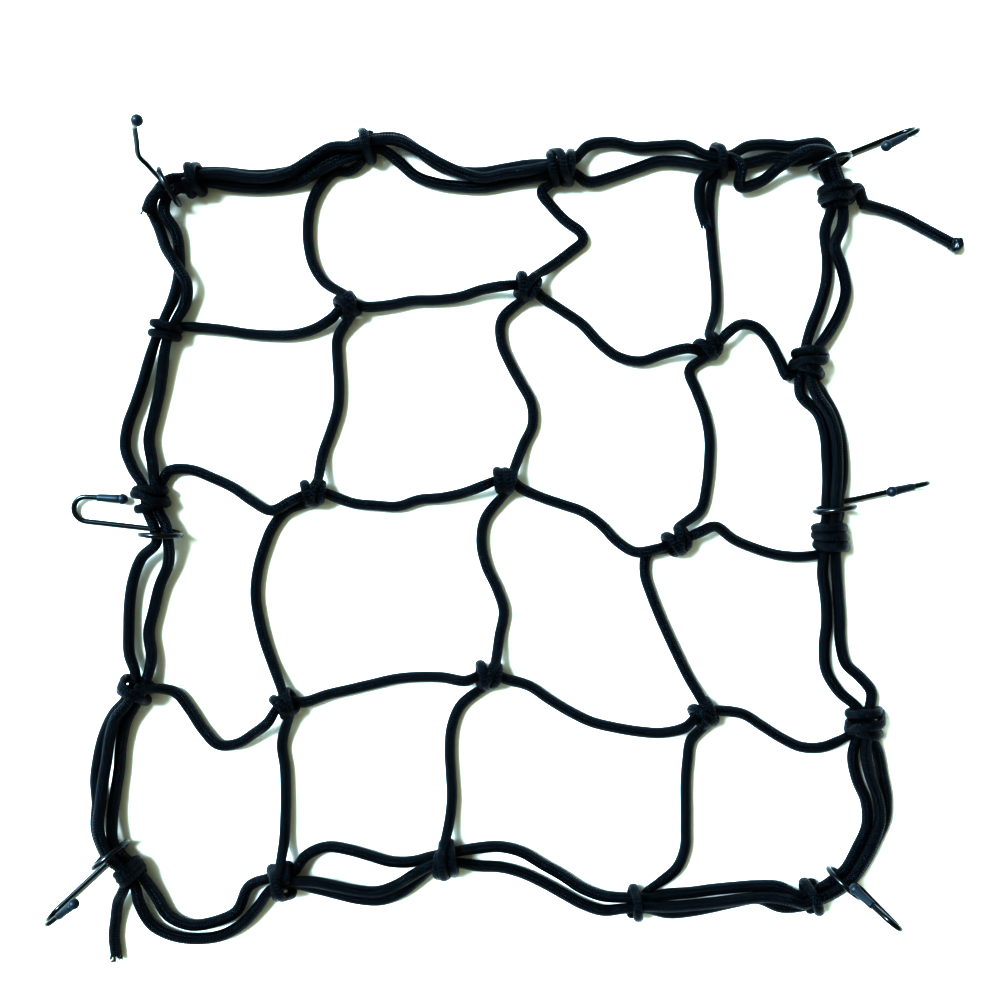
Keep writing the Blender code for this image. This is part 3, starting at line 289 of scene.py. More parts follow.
ROWS = {
    "row_cord_1": (
        "L1", (-123, 64), (-113, 62), (-104, 60.8), (-91, 60.4), (-82, 61.4), (-75, 65), "K11", (-51, 72),
        (-44, 74), (-38, 75), (-27, 75), (-19, 76), (-10, 79), (-2, 80), "K12", (16, 75.5), (24, 70.5),
        (32, 65.3), (37, 59.3), (42, 54.5), (49, 50), (55, 49), (62, 51), (69, 54), "K13", (97, 65),
        (104, 64), (109, 59), (112, 54), (114, 47), (117, 42), "R1"),
    "row_cord_2": (
        "L2", (-140, 5), (-135, 6), (-130, 5), (-123, 2), (-115, -1), (-108, -6), (-101, -10.7),
        (-96, -13, 7), (-92, -12, 8), (-87, -8, 8), "K21", (-72, -6), (-65, -9), (-55, -10), (-47, -11),
        (-41, -10), (-34, -7), (-26, -7), (-17, -5), (-9, -2), "K22", (13, -6), (21, -9), (29, -11),
        (35, -14), (41, -19), (46, -25), (51, -29), (56, -30, 7), "K23", (87, -18), (92, -23), (99, -26),
        (106, -29), (114, -31), (122, -32), "R2"),
    "row_cord_3": (
        "L3", (-145, -82), (-138, -86), (-132.6, -91.5), (-128.6, -98.5), (-123.6, -105.5), (-119, -110),
        (-113, -110), (-106, -106), (-99, -101), "K31", (-84, -91.5), (-76, -89), (-67, -87), (-58, -85),
        (-46, -82), (-35, -81), (-25, -81), (-16, -82), "K32", (1, -82), (9, -84), (17, -89.7), (25, -94.7),
        (34, -99.5), (44, -102), (57, -104), (67, -104), (74, -101), "K33", (89, -95), (96, -95),
        (103, -99), (110, -104), (117, -108), (124, -111), (132, -111), "R3"),
}

# Free cord ends and short stubs: points x, y, z.
TAILS = {
    "tail_top_right": ((147.5, 114.5, 5.0), (152, 113.5, 3.6), (160, 112, 2.6), (168, 108, 2.55),
                       (176, 104, 2.55), (182, 100.5, 2.55), (187, 98, 2.55)),
    "tail_bottom_left": ((-159.8, -173.5, 4.5), (-160.8, -178, 3.2), (-162, -184, 2.55),
                         (-162.3, -190, 2.55), (-161.5, -196.5, 2.55)),
}
STUBS = {
    "stub_top_left": ((-140, 118, 12.5), (-143.5, 115, 11.5), (-146.5, 110.5, 9)),
    "stub_third_column": ((80.3, 122, 6.0), (80, 115, 6.2), (82.3, 106, 7.0)),
}

HOOKS = {
    "left": HookPose("HL", 173.5, 0, 177, 80, -1, 0),
    "right": HookPose("HR", 13, 4, 158, -3, 1, 0),
    "top_left": HookPose("HTL", 122, 80, 32, -12, 1, -21),
    "top_right": HookPose("HTR", 22, 0, 162, 20, 1, 0),
    "bottom_left": HookPose("HBL", 223, 0, 162, -12, 1, 0),
    "bottom_right": HookPose("HBR", -37, 84, 158, -2, 1, 0),
}


# ---- plain geometry
def unit(vectors: Array) -> Array:
    """Vectors scaled to length one."""
    return vectors / np.maximum(np.linalg.norm(vectors, axis=-1, keepdims=True), 1e-12)


def heading_vectors(degrees: float) -> tuple[Array, Array]:
    """Unit vectors along a level heading and to its left.

    Args:
        degrees: Heading, anticlockwise from +X.

    Returns:
        The vector along it and the vector to its left.
    """
    angle = math.radians(degrees)
    along = np.array((math.cos(angle), math.sin(angle), 0.0))
    left = np.array((-math.sin(angle), math.cos(angle), 0.0))
    return along, left


def run_lengths(points: Array) -> Array:
    """Distance along a line of points from its first point to each of them."""
    return np.concatenate(([0.0], np.cumsum(np.linalg.norm(np.diff(points, axis=0), axis=1))))


def turn_angles(runs: Array) -> list[float]:
    """Angles in degrees between neighbouring level runs.

    Args:
        runs: Level steps along a line, one in each row.

    Returns:
        One angle fewer than there are steps.
    """
    angles = np.arctan2(runs[:, 1], runs[:, 0])
    turns = (np.diff(angles) + math.pi) % (2 * math.pi) - math.pi
    return list(np.degrees(np.abs(turns)))


def catmull_rom(points: Array, rows: Array, per_span: int) -> Array:
    """Centripetal Catmull-Rom curve through rows of values.

    Each span between two points is blended from its four nearest rows by the pyramid of straight blends
    whose knots are spaced by the square root of the distance between the points.

    Args:
        points: Places whose distances space the knots, one for each row.
        rows: Values carried by the curve, places among them.
        per_span: Rows made for each span, its first point among them.

    Returns:
        Rows along the whole curve, ending with the last row given.
    """
    def padded(values: Array) -> Array:
        """Rows with one more beyond each end, carried on straight."""
        return np.vstack((2 * values[0] - values[1], values, 2 * values[-1] - values[-2]))

    gaps = np.maximum(np.linalg.norm(np.diff(padded(points), axis=0), axis=1), 1e-6) ** 0.5
    around = padded(rows)
    t0 = np.zeros(len(points) - 1)
    t1 = t0 + gaps[:-2]
    t2 = t1 + gaps[1:-1]
    t3 = t2 + gaps[2:]
    t = t1[:, None] + (t2 - t1)[:, None] * (np.arange(per_span) / per_span)[None, :]

    def blend(a: Array, b: Array, start: Array, end: Array) -> Array:
        """Straight blend of two rows between their knots."""
        share = (t - start[:, None]) / (end - start)[:, None]
        return a + (b - a) * share[:, :, None]

    rows0, rows1, rows2, rows3 = (around[k:k + len(points) - 1, None, :] for k in range(4))
    first = blend(rows0, rows1, t0, t1)
    second = blend(rows1, rows2, t1, t2)
    third = blend(rows2, rows3, t2, t3)
    curve = blend(blend(first, second, t0, t2), blend(second, third, t1, t3), t1, t2)
    return np.vstack((curve.reshape(-1, rows.shape[1]), rows[-1]))


def spaced(rows: Array, step: float) -> Array:
    """Rows at even distances of about step along a line whose first three columns are its places.

    Args:
        rows: Rows of the line.
        step: Distance wanted between rows.

    Returns:
        New rows.
    """
    run = run_lengths(rows[:, :3])
    places = np.linspace(0.0, run[-1], max(2, math.ceil(run[-1] / step) + 1))
    return np.column_stack([np.interp(places, run, column) for column in rows.T])


# ---- the routes of all cords
@dataclass
class NetLayout:
    """Routes of the cords. Sizes are in millimetres and equal the CAD's."""

    cord_r: float = 2.5
    knot_neck_r: float = 2.05
    eye_neck_r: float = 2.2
    strand_gap: float = 0.5
    gap: float = 0.35
    wrap: float = 3.2
    knot_length: float = 8.4
    knot_reach: float = 4.6
    eye_reach: float = 3.0
    butt_gap: float = 0.3
    step: float = 10.5
    lift_fade: float = 12.0
    nearest: float = 5.0
    sharp: float = 35.0
    centre_r: float = 7.6
    foot_reach: float = 1.6
    foot_inset: float = 0.25
    beside_height: float = 7.9
    beside_reach: float = 1.8
    facing_height: float = 4.4
    beside_cosine: float = math.cos(math.radians(58))
    eye_height: float = 8.86
    eye_sag: float = 1.2
    floor_share: float = math.cos(math.pi / 6)
    pair_offset: float = 0.2887
    rounds_shaping: int = 260
    rounds_clearing: int = 240
    push_share: float = 0.45
    smooth_share: float = 0.02
    return_share: float = 0.10
    search_reach: float = 18.0
    search_rounds: int = 20
    least_distance: float = 1e-3
    least_weight: float = 0.25
    knot_margin: float = 2.0
    wire_r: float = 1.1
    tip_length: float = 9.0
    ball_r: float = 1.9
    knot_profile: tuple[tuple[float, float, float], ...] = (
        (-7.2, 2.4, 2.4), (-6.0, 4.7, 3.8), (-4.0, 6.1, 4.8), (-2.0, 5.5, 4.4), (0.0, 6.3, 5.0),
        (2.0, 5.5, 4.4), (4.0, 6.1, 4.8), (6.0, 4.7, 3.8), (7.2, 2.4, 2.4))

    def neck_radius(self, place: Place) -> float:
        """Radius of a strand where it is gathered."""
        return self.eye_neck_r if place is Place.EYE else self.knot_neck_r

    def pitch(self, place: Place) -> float:
        """Distance between the middles of neighbouring strands in a bundle."""
        return 2.0 * self.neck_radius(place) + self.strand_gap

    def collar_loops(self, name: str) -> Array:
        """Rings of points of the band round a bundle, relative to the bundle's middle.

        The band's inner wall is an arc round each strand joined by straight lines, and its section is a
        flattened hexagon.

        Args:
            name: The station.

        Returns:
            Array indexed by outline point, section point and coordinate.
        """
        station = STATIONS[name]
        along, left = heading_vectors(station.heading)
        pitch = self.pitch(station.place)
        centres = [pitch * (out * left + rise * UP) for out, rise in station.bundle.value]
        if station.bundle is Bundle.PAIR:
            arcs = ((0, -90.0, 90.0), (1, 90.0, 270.0))
            steps = 6
        else:
            arcs = ((0, -90.0, 30.0), (2, 30.0, 150.0), (1, 150.0, 270.0))
            steps = 3
        inner = self.knot_neck_r + self.gap
        section = np.radians((180, 120, 60, 0, -60, -120)) + math.pi / 6
        rings = []
        for place, first, last in arcs:
            for angle in np.radians(np.linspace(first, last, steps + 1)):
                normal = math.cos(angle) * left + math.sin(angle) * UP
                rings.append([centres[place] + (inner + self.wrap / 2 * (1 - math.cos(turn))) * normal
                              + self.knot_length / 2 * math.sin(turn) * along for turn in section])
        return np.array(rings)

    def station_height(self, name: str) -> float:
        """Height of the middle of a gathered bundle above the surface.

        Args:
            name: The station.

        Returns:
            The height.
        """
        if STATIONS[name].place is Place.EYE:
            return self.eye_height - self.eye_sag
        return -float(self.collar_loops(name)[:, :, 2].min())

    def station_point(self, name: str, place: int, offset: float) -> Array:
        """Middle of one strand at a distance along the heading from a station's middle.

        Args:
            name: The station.
            place: Place of the strand in its bundle.
            offset: Distance along the heading.

        Returns:
            The point.
        """
        station = STATIONS[name]
        along, left = heading_vectors(station.heading)
        out, rise = station.bundle.value[place]
        pitch = self.pitch(station.place)
        base = np.array((station.x, station.y, self.station_height(name) + rise * pitch))
        return base + left * out * pitch + along * offset

    def free_row(self, entry: tuple) -> list:
        """Control row of a route point."""
        return [entry[0], entry[1], entry[2] if len(entry) > 2 else None, self.cord_r, self.cord_r, 0]

    def border_controls(self, entries: tuple) -> Rows:
        """Control rows (x, y, z, half width, half height, fixed) of a border strand.

        Args:
            entries: Its entries in BORDER.

        Returns:
            The rows. A height that is still to be found is None.
        """
        rows = []
        for index, entry in enumerate(entries):
            if not isinstance(entry[0], str):
                rows.append(self.free_row(entry))
                continue
            name, place = entry
            kind = STATIONS[name].place
            reach = self.eye_reach if kind is Place.EYE else self.knot_reach
            offsets = (-reach, reach)
            if index == 0:
                offsets = (self.butt_gap / 2, reach)
            elif index == len(entries) - 1:
                offsets = (-reach, -self.butt_gap / 2)
            neck = self.neck_radius(kind)
            rows.extend([*self.station_point(name, place, offset), neck, neck, 1] for offset in offsets)
        return rows

    def knot_foot(self, name: str, toward: tuple) -> Array:
        """Point on an edge knot's inner side where a mesh cord is tied in.

        Args:
            name: Station of the knot.
            toward: Next point of the mesh cord.

        Returns:
            The point.
        """
        station = STATIONS[name]
        along, left = heading_vectors(station.heading)
        pitch = self.pitch(station.place)
        middle = np.array((station.x, station.y, 0.0))
        step = np.array((toward[0], toward[1], 0.0)) - middle
        reach = max(-self.foot_reach, min(self.foot_reach, float(step @ along)))
        base = middle + along * reach - left * (0.5 * pitch + self.knot_neck_r + self.gap)
        leave = np.array((toward[0], toward[1], 0.0)) - base
        sideways = abs(float(leave @ along)) / float(np.linalg.norm(leave))
        base = base - left * (self.foot_inset + self.cord_r * sideways)
        base[2] = self.station_height(name) - self.pair_offset * pitch
        return base

    def column_controls(self, entries: tuple) -> Rows:
        """Control rows of a column cord, with the swelling of each inner knot on its way.

        Args:
            entries: Its entries in COLUMNS.

        Returns:
            Rows like those of a border strand.
        """
        rows = []
        last = len(entries) - 1
        for index, entry in enumerate(entries):
            if entry in STATIONS:
                neighbour = entries[1] if index == 0 else entries[last - 1]
                rows.append([*self.knot_foot(entry, neighbour), self.cord_r, self.cord_r, 1])
            elif entry in INNER_KNOTS:
                centre = np.array((*INNER_KNOTS[entry], 0.0))
                run = np.array((*column_heading(entry), 0.0))
                for offset, half_width, half_height in self.knot_profile:
                    point = centre + run * offset
                    rows.append([point[0], point[1], half_height * self.floor_share,
                                 half_width, half_height, 1])
            else:
                rows.append(self.free_row(entry))
        return rows

    def row_end(self, name: str, toward: tuple) -> list[float]:
        """End of a row cord against an inner knot, over the column cord where the two leave together.

        Args:
            name: The inner knot.
            toward: Next point of the row cord.

        Returns:
            One control row.
        """
        centre = np.array(INNER_KNOTS[name], dtype=float)
        leave = np.subtract(toward[:2], centre)
        leave = leave / np.linalg.norm(leave)
        beside = abs(float(leave @ column_heading(name))) > self.beside_cosine
        height = self.beside_height if beside else self.facing_height
        point = centre + leave * (self.centre_r + (self.beside_reach if beside else 0.0))
        return [point[0], point[1], height, self.cord_r, self.cord_r, 1]

    def row_controls(self, entries: tuple) -> list[Rows]:
        """The four lengths of a row cord, each a list of control rows.

        Args:
            entries: Its entries in ROWS.

        Returns:
            The four lists, from left to right.
        """
        cuts = [k for k, entry in enumerate(entries) if entry in INNER_KNOTS or entry in STATIONS]
        lengths = []
        for first, last in zip(cuts[:-1], cuts[1:]):
            ends = []
            for index, neighbour in ((first, entries[first + 1]), (last, entries[last - 1])):
                if entries[index] in STATIONS:
                    ends.append([*self.knot_foot(entries[index], neighbour), self.cord_r, self.cord_r, 1])
                else:
                    ends.append(self.row_end(entries[index], neighbour))
            between = [self.free_row(entry) for entry in entries[first + 1:last]
                       if all(math.dist(entry[:2], end[:2]) > self.nearest for end in ends)]
            lengths.append([ends[0], *between, ends[1]])
        return lengths

    def fill_heights(self, rows: Rows) -> Rows:
        """Give each free point a height that fades from the nearest given ones down to the surface.

        Args:
            rows: Control rows, which are changed.

        Returns:
            The same rows.
        """
        rest = self.cord_r * self.floor_share
        run = run_lengths(np.array([row[:2] for row in rows], dtype=float))
        known = [index for index, row in enumerate(rows) if row[2] is not None]
        for index, row in enumerate(rows):
            if row[2] is not None:
                continue
            before = max((k for k in known if k < index), default=-1)
            after = min((k for k in known if k > index), default=-1)
            lift = sum((rows[k][2] - rest) * math.exp(-abs(run[k] - run[index]) / self.lift_fade)
                       for k in known if k in (before, after))
            row[2] = rest + max(lift, 0.0)
        return rows

    def smooth_points(self, rows: Rows) -> Array:
        """Points at most one step apart on a centripetal Catmull-Rom curve through control rows.

        Two fixed rows in a row are joined by a straight line.

        Args:
            rows: Control rows of one cord.

        Returns:
            Rows x, y, z, half width, half height and fixed mark.
        """
        table = np.array(self.fill_heights(rows), dtype=float)
        points = table[:, :3]
        turns = [0.0, *turn_angles(np.diff(points[:, :2], axis=0)), 0.0]
        marks = [index for index, row in enumerate(table)
                 if row[5] or turns[index] > self.sharp or index in (0, len(table) - 1)]
        curve = catmull_rom(points, points, PER_SPAN)
        out = [table[0]]
        for first, last in zip(marks[:-1], marks[1:]):
            if last > first + 1:
                dense = curve[first * PER_SPAN:last * PER_SPAN + 1]
                run = run_lengths(dense)
                for place in np.linspace(0.0, run[-1], math.ceil(run[-1] / self.step) + 1)[1:-1]:
                    spot = [np.interp(place, run, dense[:, axis]) for axis in range(3)]
                    out.append(np.array([*spot, self.cord_r, self.cord_r, 0.0]))
            out.append(table[last])
        return np.array(out)

    def lay_out(self, hooks: dict[str, tuple[Array, Array]]) -> dict[str, Array]:
        """Routes of all cords once they clear each other and the hooks.

        Args:
            hooks: Middle line of each hook's wire and the direction of its tip.

        Returns:
            Name of each cord to its rows x, y, z, half width, half height and fixed mark.
        """
        strands: Strands = []
        for name, entries in BORDER.items():
            strands.append((name, self.smooth_points(self.border_controls(entries)), []))
        collars: dict[str, list[int]] = {}
        for name, station in STATIONS.items():
            if station.place is Place.EYE:
                continue
            along, _ = heading_vectors(station.heading)
            middle = np.array((station.x, station.y, self.station_height(name)))
            for side in (-1, 1):
                shift = side * (self.knot_length - self.wrap) / 2 * along
                ring = self.collar_loops(name).mean(axis=1) + middle + shift
                collars.setdefault(name, []).append(len(strands))
                strands.append(("", fixed_table(np.vstack((ring, ring[:1])), self.wrap / 2), []))
        for path, direction in hooks.values():
            tip = np.array((path[-1], path[-1] + direction * (self.tip_length + self.ball_r)))
            strands.append(("", fixed_table(path, self.wire_r), []))
            strands.append(("", fixed_table(tip, self.ball_r), []))
        for name, entries in COLUMNS.items():
            own = collars[entries[0]] + collars[entries[-1]]
            strands.append((name, self.smooth_points(self.column_controls(entries)), own))
        for name, entries in ROWS.items():
            lengths = self.row_controls(entries)
            for number, rows in enumerate(lengths):
                own = collars[entries[0]] if number == 0 else []
                if number == len(lengths) - 1:
                    own = collars[entries[-1]]
                strands.append((f"{name}{'abcd'[number]}", self.smooth_points(rows), own))
        for name, route in {**TAILS, **STUBS}.items():
            table = self.smooth_points([self.free_row(point) for point in route])
            table[:, 5] = 1
            strands.append((name, table, []))
        self.settle(strands)
        return {name: table for name, table, _ in strands if name}

    def settle(self, strands: Strands) -> None:
        """Push the cords apart until each clears its neighbours and lies on the surface.

        Each round smooths the free points a little, draws them back to their route, and moves pieces that
        are closer than their radii and the gap directly away from each other. Fixed points never move.

        Args:
            strands: Name, rows and numbers of the strands that may be touched. The rows are changed.
        """
        table = np.vstack([rows for _, rows, _ in strands])
        points = table[:, :3].copy()
        target = points.copy()
        radius = np.minimum(table[:, 3], table[:, 4])
        free = 1.0 - table[:, 5]
        floor = table[:, 4] * self.floor_share
        ends, first, second = meeting_pairs(strands)
        counts = [len(rows) for _, rows, _ in strands]
        starts = np.concatenate(([0], np.cumsum(counts)))
        inner = np.ones(len(points), dtype=bool)
        inner[starts[:-1]] = False
        inner[starts[1:] - 1] = False
        movable = (free[ends[:, 0]] + free[ends[:, 1]]) > 0
        near_knot = self.knot_neighbourhood(points, ends)
        useful = (movable[first] | movable[second]) & ((near_knot[first] < 0)
                                                       | (near_knot[first] != near_knot[second]))
        first, second = first[useful], second[useful]
        for turn in range(self.rounds_shaping + self.rounds_clearing):
            if turn % self.search_rounds == 0:
                middles = points[ends].mean(axis=1)
                close = np.linalg.norm(middles[first] - middles[second], axis=1) < self.search_reach
                near_first, near_second = first[close], second[close]
            if turn < self.rounds_shaping:
                shift = np.zeros_like(points)
                shift[1:-1] = 0.5 * (points[:-2] + points[2:]) - points[1:-1]
                shift[~inner] = 0.0
                points += free[:, None] * (self.smooth_share * shift + self.return_share * (target - points))
            self.push_apart(points, radius, free, ends[near_first], ends[near_second])
            points[:, 2] = np.where(free > 0, np.maximum(points[:, 2], floor), points[:, 2])
        for (_, rows, _), start, count in zip(strands, starts, counts):
            rows[:, :3] = points[start:start + count]

    def knot_neighbourhood(self, points: Array, ends: Array) -> Array:
        """Number of the inner knot that each straight piece lies in, or -1.

        Args:
            points: Points of all strands.
            ends: Numbers of the two end points of each piece.

        Returns:
            One number for each piece.
        """
        middles = points[ends].mean(axis=1)[:, :2]
        centres = np.array(list(INNER_KNOTS.values()), dtype=float)
        distance = np.linalg.norm(middles[:, None, :] - centres[None, :, :], axis=2)
        return np.where(distance.min(axis=1) < self.centre_r + self.knot_margin, distance.argmin(axis=1), -1)

    def push_apart(self, points: Array, radius: Array, free: Array, a: Array, b: Array) -> None:
        """Move each pair of pieces that are too close directly away from each other, in place.

        Args:
            points: Points of all strands, which are changed.
            radius: Radius at each point.
            free: One for a point that may move, else nought.
            a: Numbers of the two end points of the first piece of each pair.
            b: The same for the second piece.
        """
        s, t = closest_shares(points[a[:, 0]], points[a[:, 1]], points[b[:, 0]], points[b[:, 1]])
        near_a = points[a[:, 0]] * (1 - s)[:, None] + points[a[:, 1]] * s[:, None]
        near_b = points[b[:, 0]] * (1 - t)[:, None] + points[b[:, 1]] * t[:, None]
        reach = (radius[a[:, 0]] * (1 - s) + radius[a[:, 1]] * s
                 + radius[b[:, 0]] * (1 - t) + radius[b[:, 1]] * t + self.gap)
        away = near_a - near_b
        distance = np.linalg.norm(away, axis=1)
        hit = distance < reach
        if not hit.any():
            return
        a, b, s, t, away, distance = a[hit], b[hit], s[hit], t[hit], away[hit], distance[hit]
        least = self.least_distance
        away = np.where(distance[:, None] > least, away / np.maximum(distance, least)[:, None], UP)
        weights = np.stack(((1 - s) * free[a[:, 0]], s * free[a[:, 1]],
                            (1 - t) * free[b[:, 0]], t * free[b[:, 1]]), axis=1)
        shares = np.stack((1 - s, s, 1 - t, t), axis=1)
        total = np.maximum((weights * shares).sum(axis=1), self.least_weight)
        push = self.push_share * (reach[hit] - distance) / total
        index = np.concatenate((a[:, 0], a[:, 1], b[:, 0], b[:, 1]))
        signed = np.concatenate((weights[:, 0], weights[:, 1], -weights[:, 2], -weights[:, 3]))
        np.add.at(points, index, (signed * np.tile(push, 4))[:, None] * np.tile(away, (4, 1)))


def fixed_table(points: Array, radius: float) -> Array:
    """Rows of a strand that others must clear and that never moves."""
    points = np.asarray(points)
    return np.column_stack((points, np.full((len(points), 2), radius), np.ones(len(points))))


def column_heading(name: str) -> Array:
    """Level direction in which the column cord passes through an inner knot.

    Args:
        name: The inner knot.

    Returns:
        A unit vector.
    """
    for entries in COLUMNS.values():
        if name in entries:
            index = entries.index(name)
            run = np.subtract(entries[index + 1], entries[index - 1])
            return run / np.linalg.norm(run)
    raise ValueError(name)


def closest_shares(a0: Array, a1: Array, b0: Array, b1: Array) -> tuple[Array, Array]:
    """Shares along two sets of straight pieces where each pair comes closest.

    Args:
        a0: Start of each first piece.
        a1: End of each first piece.
        b0: Start of each second piece.
        b1: End of each second piece.

    Returns:
        Share along each first piece and along each second piece, from 0 to 1.
    """
    da, db, gap = a1 - a0, b1 - b0, a0 - b0
    aa = np.maximum((da * da).sum(1), 1e-9)
    bb = np.maximum((db * db).sum(1), 1e-9)
    ab, ag, bg = (da * db).sum(1), (da * gap).sum(1), (db * gap).sum(1)
    det = aa * bb - ab * ab
    s = np.where(det > 1e-9, (ab * bg - ag * bb) / np.maximum(det, 1e-9), 0.5)
    s = np.clip(s, 0.0, 1.0)
    t = np.clip((ab * s + bg) / bb, 0.0, 1.0)
    s = np.clip((ab * t - ag) / aa, 0.0, 1.0)
    return s, t


def meeting_pairs(strands: Strands) -> tuple[Array, Array, Array]:
    """Straight pieces of all strands, and the pairs of them that may not run through each other.

    Args:
        strands: Name, rows and numbers of the strands that may be touched.

    Returns:
        End points of each piece, and the numbers of the two pieces of each pair.
    """
    ends, owner, base = [], [], 0
    for index, (_, rows, _) in enumerate(strands):
        ends.extend((base + k, base + k + 1) for k in range(len(rows) - 1))
        owner.extend([index] * (len(rows) - 1))
        base += len(rows)
    owner = np.array(owner)
    first, second = np.triu_indices(len(ends), 1)
    keep = owner[first] != owner[second]
    for index, (_, _, ignored) in enumerate(strands):
        for other in ignored:
            pair = [index, other]
            keep &= ~(np.isin(owner[first], pair) & np.isin(owner[second], pair))
    return np.array(ends), first[keep], second[keep]


# ---- surfaces
def carried_frames(points: Array, first_up: Array) -> tuple[Array, Array, Array]:
    """Tangents of a line, and two directions across it that are carried along without twist.

    Each step turns the last up direction just enough to be square to the next tangent.

    Args:
        points: The line.
        first_up: A direction across the line's start.

    Returns:
        Tangents, up directions and across directions.
    """
    tangents = unit(np.gradient(points, axis=0))
    ups = np.empty_like(points)
    up = np.asarray(first_up, dtype=float)
    if abs(float(up @ tangents[0])) > 0.95:
        up = np.array((1.0, 0.0, 0.0))
    for index, tangent in enumerate(tangents):
        up = up - (up @ tangent) * tangent
        up = up / np.linalg.norm(up)
        ups[index] = up
    return tangents, ups, np.cross(ups, tangents)


def tube_rings(rows: Array, sides: int) -> Array:
    """Rings of an oval section carried along a path.

    The point at angle phi of a ring is the middle plus r d, with d the unit direction at phi in the carried
    frame and r = ((d.n / a)^2 + (d.m / b)^2)^(-1/2), where n is the row's own normal, m is square to it, a is
    the half thickness along n and b along m.

    Args:
        rows: x, y, z, a, b and the normal's x, y, z.
        sides: Points in a ring.

    Returns:
        Array indexed by ring, point and coordinate.
    """
    points = rows[:, :3]
    tangents, ups, across = carried_frames(points, UP)
    normals = rows[:, 5:8]
    normals = normals - (normals * tangents).sum(axis=1, keepdims=True) * tangents
    weak = np.linalg.norm(normals, axis=1) < 0.05
    normals = unit(np.where(weak[:, None], ups, normals))
    beside = np.cross(tangents, normals)
    phi = 2 * math.pi * np.arange(sides) / sides
    spokes = (np.cos(phi)[None, :, None] * across[:, None, :] + np.sin(phi)[None, :, None] * ups[:, None, :])
    thick = np.einsum("rsk,rk->rs", spokes, normals) / rows[:, 3, None]
    wide = np.einsum("rsk,rk->rs", spokes, beside) / rows[:, 4, None]
    reach = 1.0 / np.sqrt(thick ** 2 + wide ** 2)
    return points[:, None, :] + reach[:, :, None] * spokes


def rounded_ends(rings: Array, depth: float, shares: tuple[float, ...]) -> Array:
    """Rings with a few smaller ones added past both ends, so that the ends are rounded off.

    An added ring is the end ring drawn in to a share of its size and moved out by depth times
    sqrt(1 - share^2).

    Args:
        rings: Rings along a tube.
        depth: How far the rounding stands out.
        shares: Sizes of the added rings, from the largest to the smallest.

    Returns:
        The longer array of rings.
    """
    def cap(end: Array, outward: Array) -> list[Array]:
        """Smaller rings past one end, the largest first."""
        middle = end.mean(axis=0)
        return [middle + (end - middle) * share + outward * depth * math.sqrt(1 - share ** 2)
                for share in shares]

    middles = rings.mean(axis=1)
    start = cap(rings[0], unit(middles[0] - middles[1]))
    finish = cap(rings[-1], unit(middles[-1] - middles[-2]))
    return np.concatenate((np.array(start[::-1]), rings, np.array(finish)))


def grid_mesh(name: str, rings: Array, fit_floor: bool = False) -> Object:
    """Closed skin over rings of points, with a fan at each end and a UV map of (turns, millimetres).

    The grid's faces join point s of ring r to its neighbours, with s taken round. U is the share of a turn
    and V is the distance along the middle line.

    Args:
        name: Name of the new object.
        rings: Array indexed by ring, point and coordinate, in millimetres.
        fit_floor: Whether points below the surface are lifted on to it.

    Returns:
        The new object, linked to the scene.
    """
    count, sides = rings.shape[:2]
    middles = rings.mean(axis=1)
    points = np.concatenate((rings.reshape(-1, 3), middles[:1], middles[-1:]))
    if fit_floor:
        points[:, 2] = np.maximum(points[:, 2], 0.0)
    ring, side = np.meshgrid(np.arange(count - 1), np.arange(sides), indexing="ij")
    after = (side + 1) % sides
    quads = np.stack((ring * sides + side, ring * sides + after,
                      (ring + 1) * sides + after, (ring + 1) * sides + side), axis=-1).reshape(-1, 4)
    run = run_lengths(middles)
    turn = np.stack((side, side + 1, side + 1, side), axis=-1).reshape(-1, 4) / sides
    along = run[np.stack((ring, ring, ring + 1, ring + 1), axis=-1).reshape(-1, 4)]
    rim = np.arange(sides)
    rim_after = (rim + 1) % sides
    tip = count * sides
    last = (count - 1) * sides
    fans = np.concatenate((np.stack((np.full(sides, tip), rim_after, rim), axis=-1),
                           np.stack((np.full(sides, tip + 1), last + rim, last + rim_after), axis=-1)))
    fan_turn = np.concatenate((np.stack((rim + 0.5, rim + 1, rim), axis=-1),
                               np.stack((rim + 0.5, rim, rim + 1), axis=-1))) / sides
    fan_along = np.repeat(run[[0, -1]], sides)[:, None] * np.ones((1, 3))
    mesh = bpy.data.meshes.new(name)
    mesh.vertices.add(len(points))
    mesh.vertices.foreach_set("co", (points * MM).ravel())
    corners = np.concatenate((quads.ravel(), fans.ravel()))
    totals = np.concatenate((np.full(len(quads), 4), np.full(len(fans), 3)))
    mesh.loops.add(len(corners))
    mesh.loops.foreach_set("vertex_index", corners.astype(np.int32))
    mesh.polygons.add(len(totals))
    mesh.polygons.foreach_set("loop_start", np.concatenate(([0], np.cumsum(totals)[:-1])).astype(np.int32))
    mesh.polygons.foreach_set("loop_total", totals.astype(np.int32))
    mesh.polygons.foreach_set("use_smooth", np.ones(len(totals), dtype=bool))
    mesh.update(calc_edges=True)
    uv = np.stack((np.concatenate((turn.ravel(), fan_turn.ravel())),
                   np.concatenate((along.ravel(), fan_along.ravel()))), axis=-1)
    mesh.uv_layers.new(name="braid").data.foreach_set("uv", uv.ravel())
    mesh.validate()
    piece = bpy.data.objects.new(name, mesh)
    bpy.context.scene.collection.objects.link(piece)
    return piece


def joined(name: str, pieces: list[Object]) -> Object:
    """One object from several, which keep their UV maps.

    Args:
        name: Name of the result.
        pieces: Objects, which are joined into the first one.

    Returns:
        The first object, with the others in it.
    """
    with bpy.context.temp_override(active_object=pieces[0], selected_editable_objects=pieces):
        bpy.ops.object.join()
    pieces[0].name = name
    pieces[0].data.name = name
    return pieces[0]


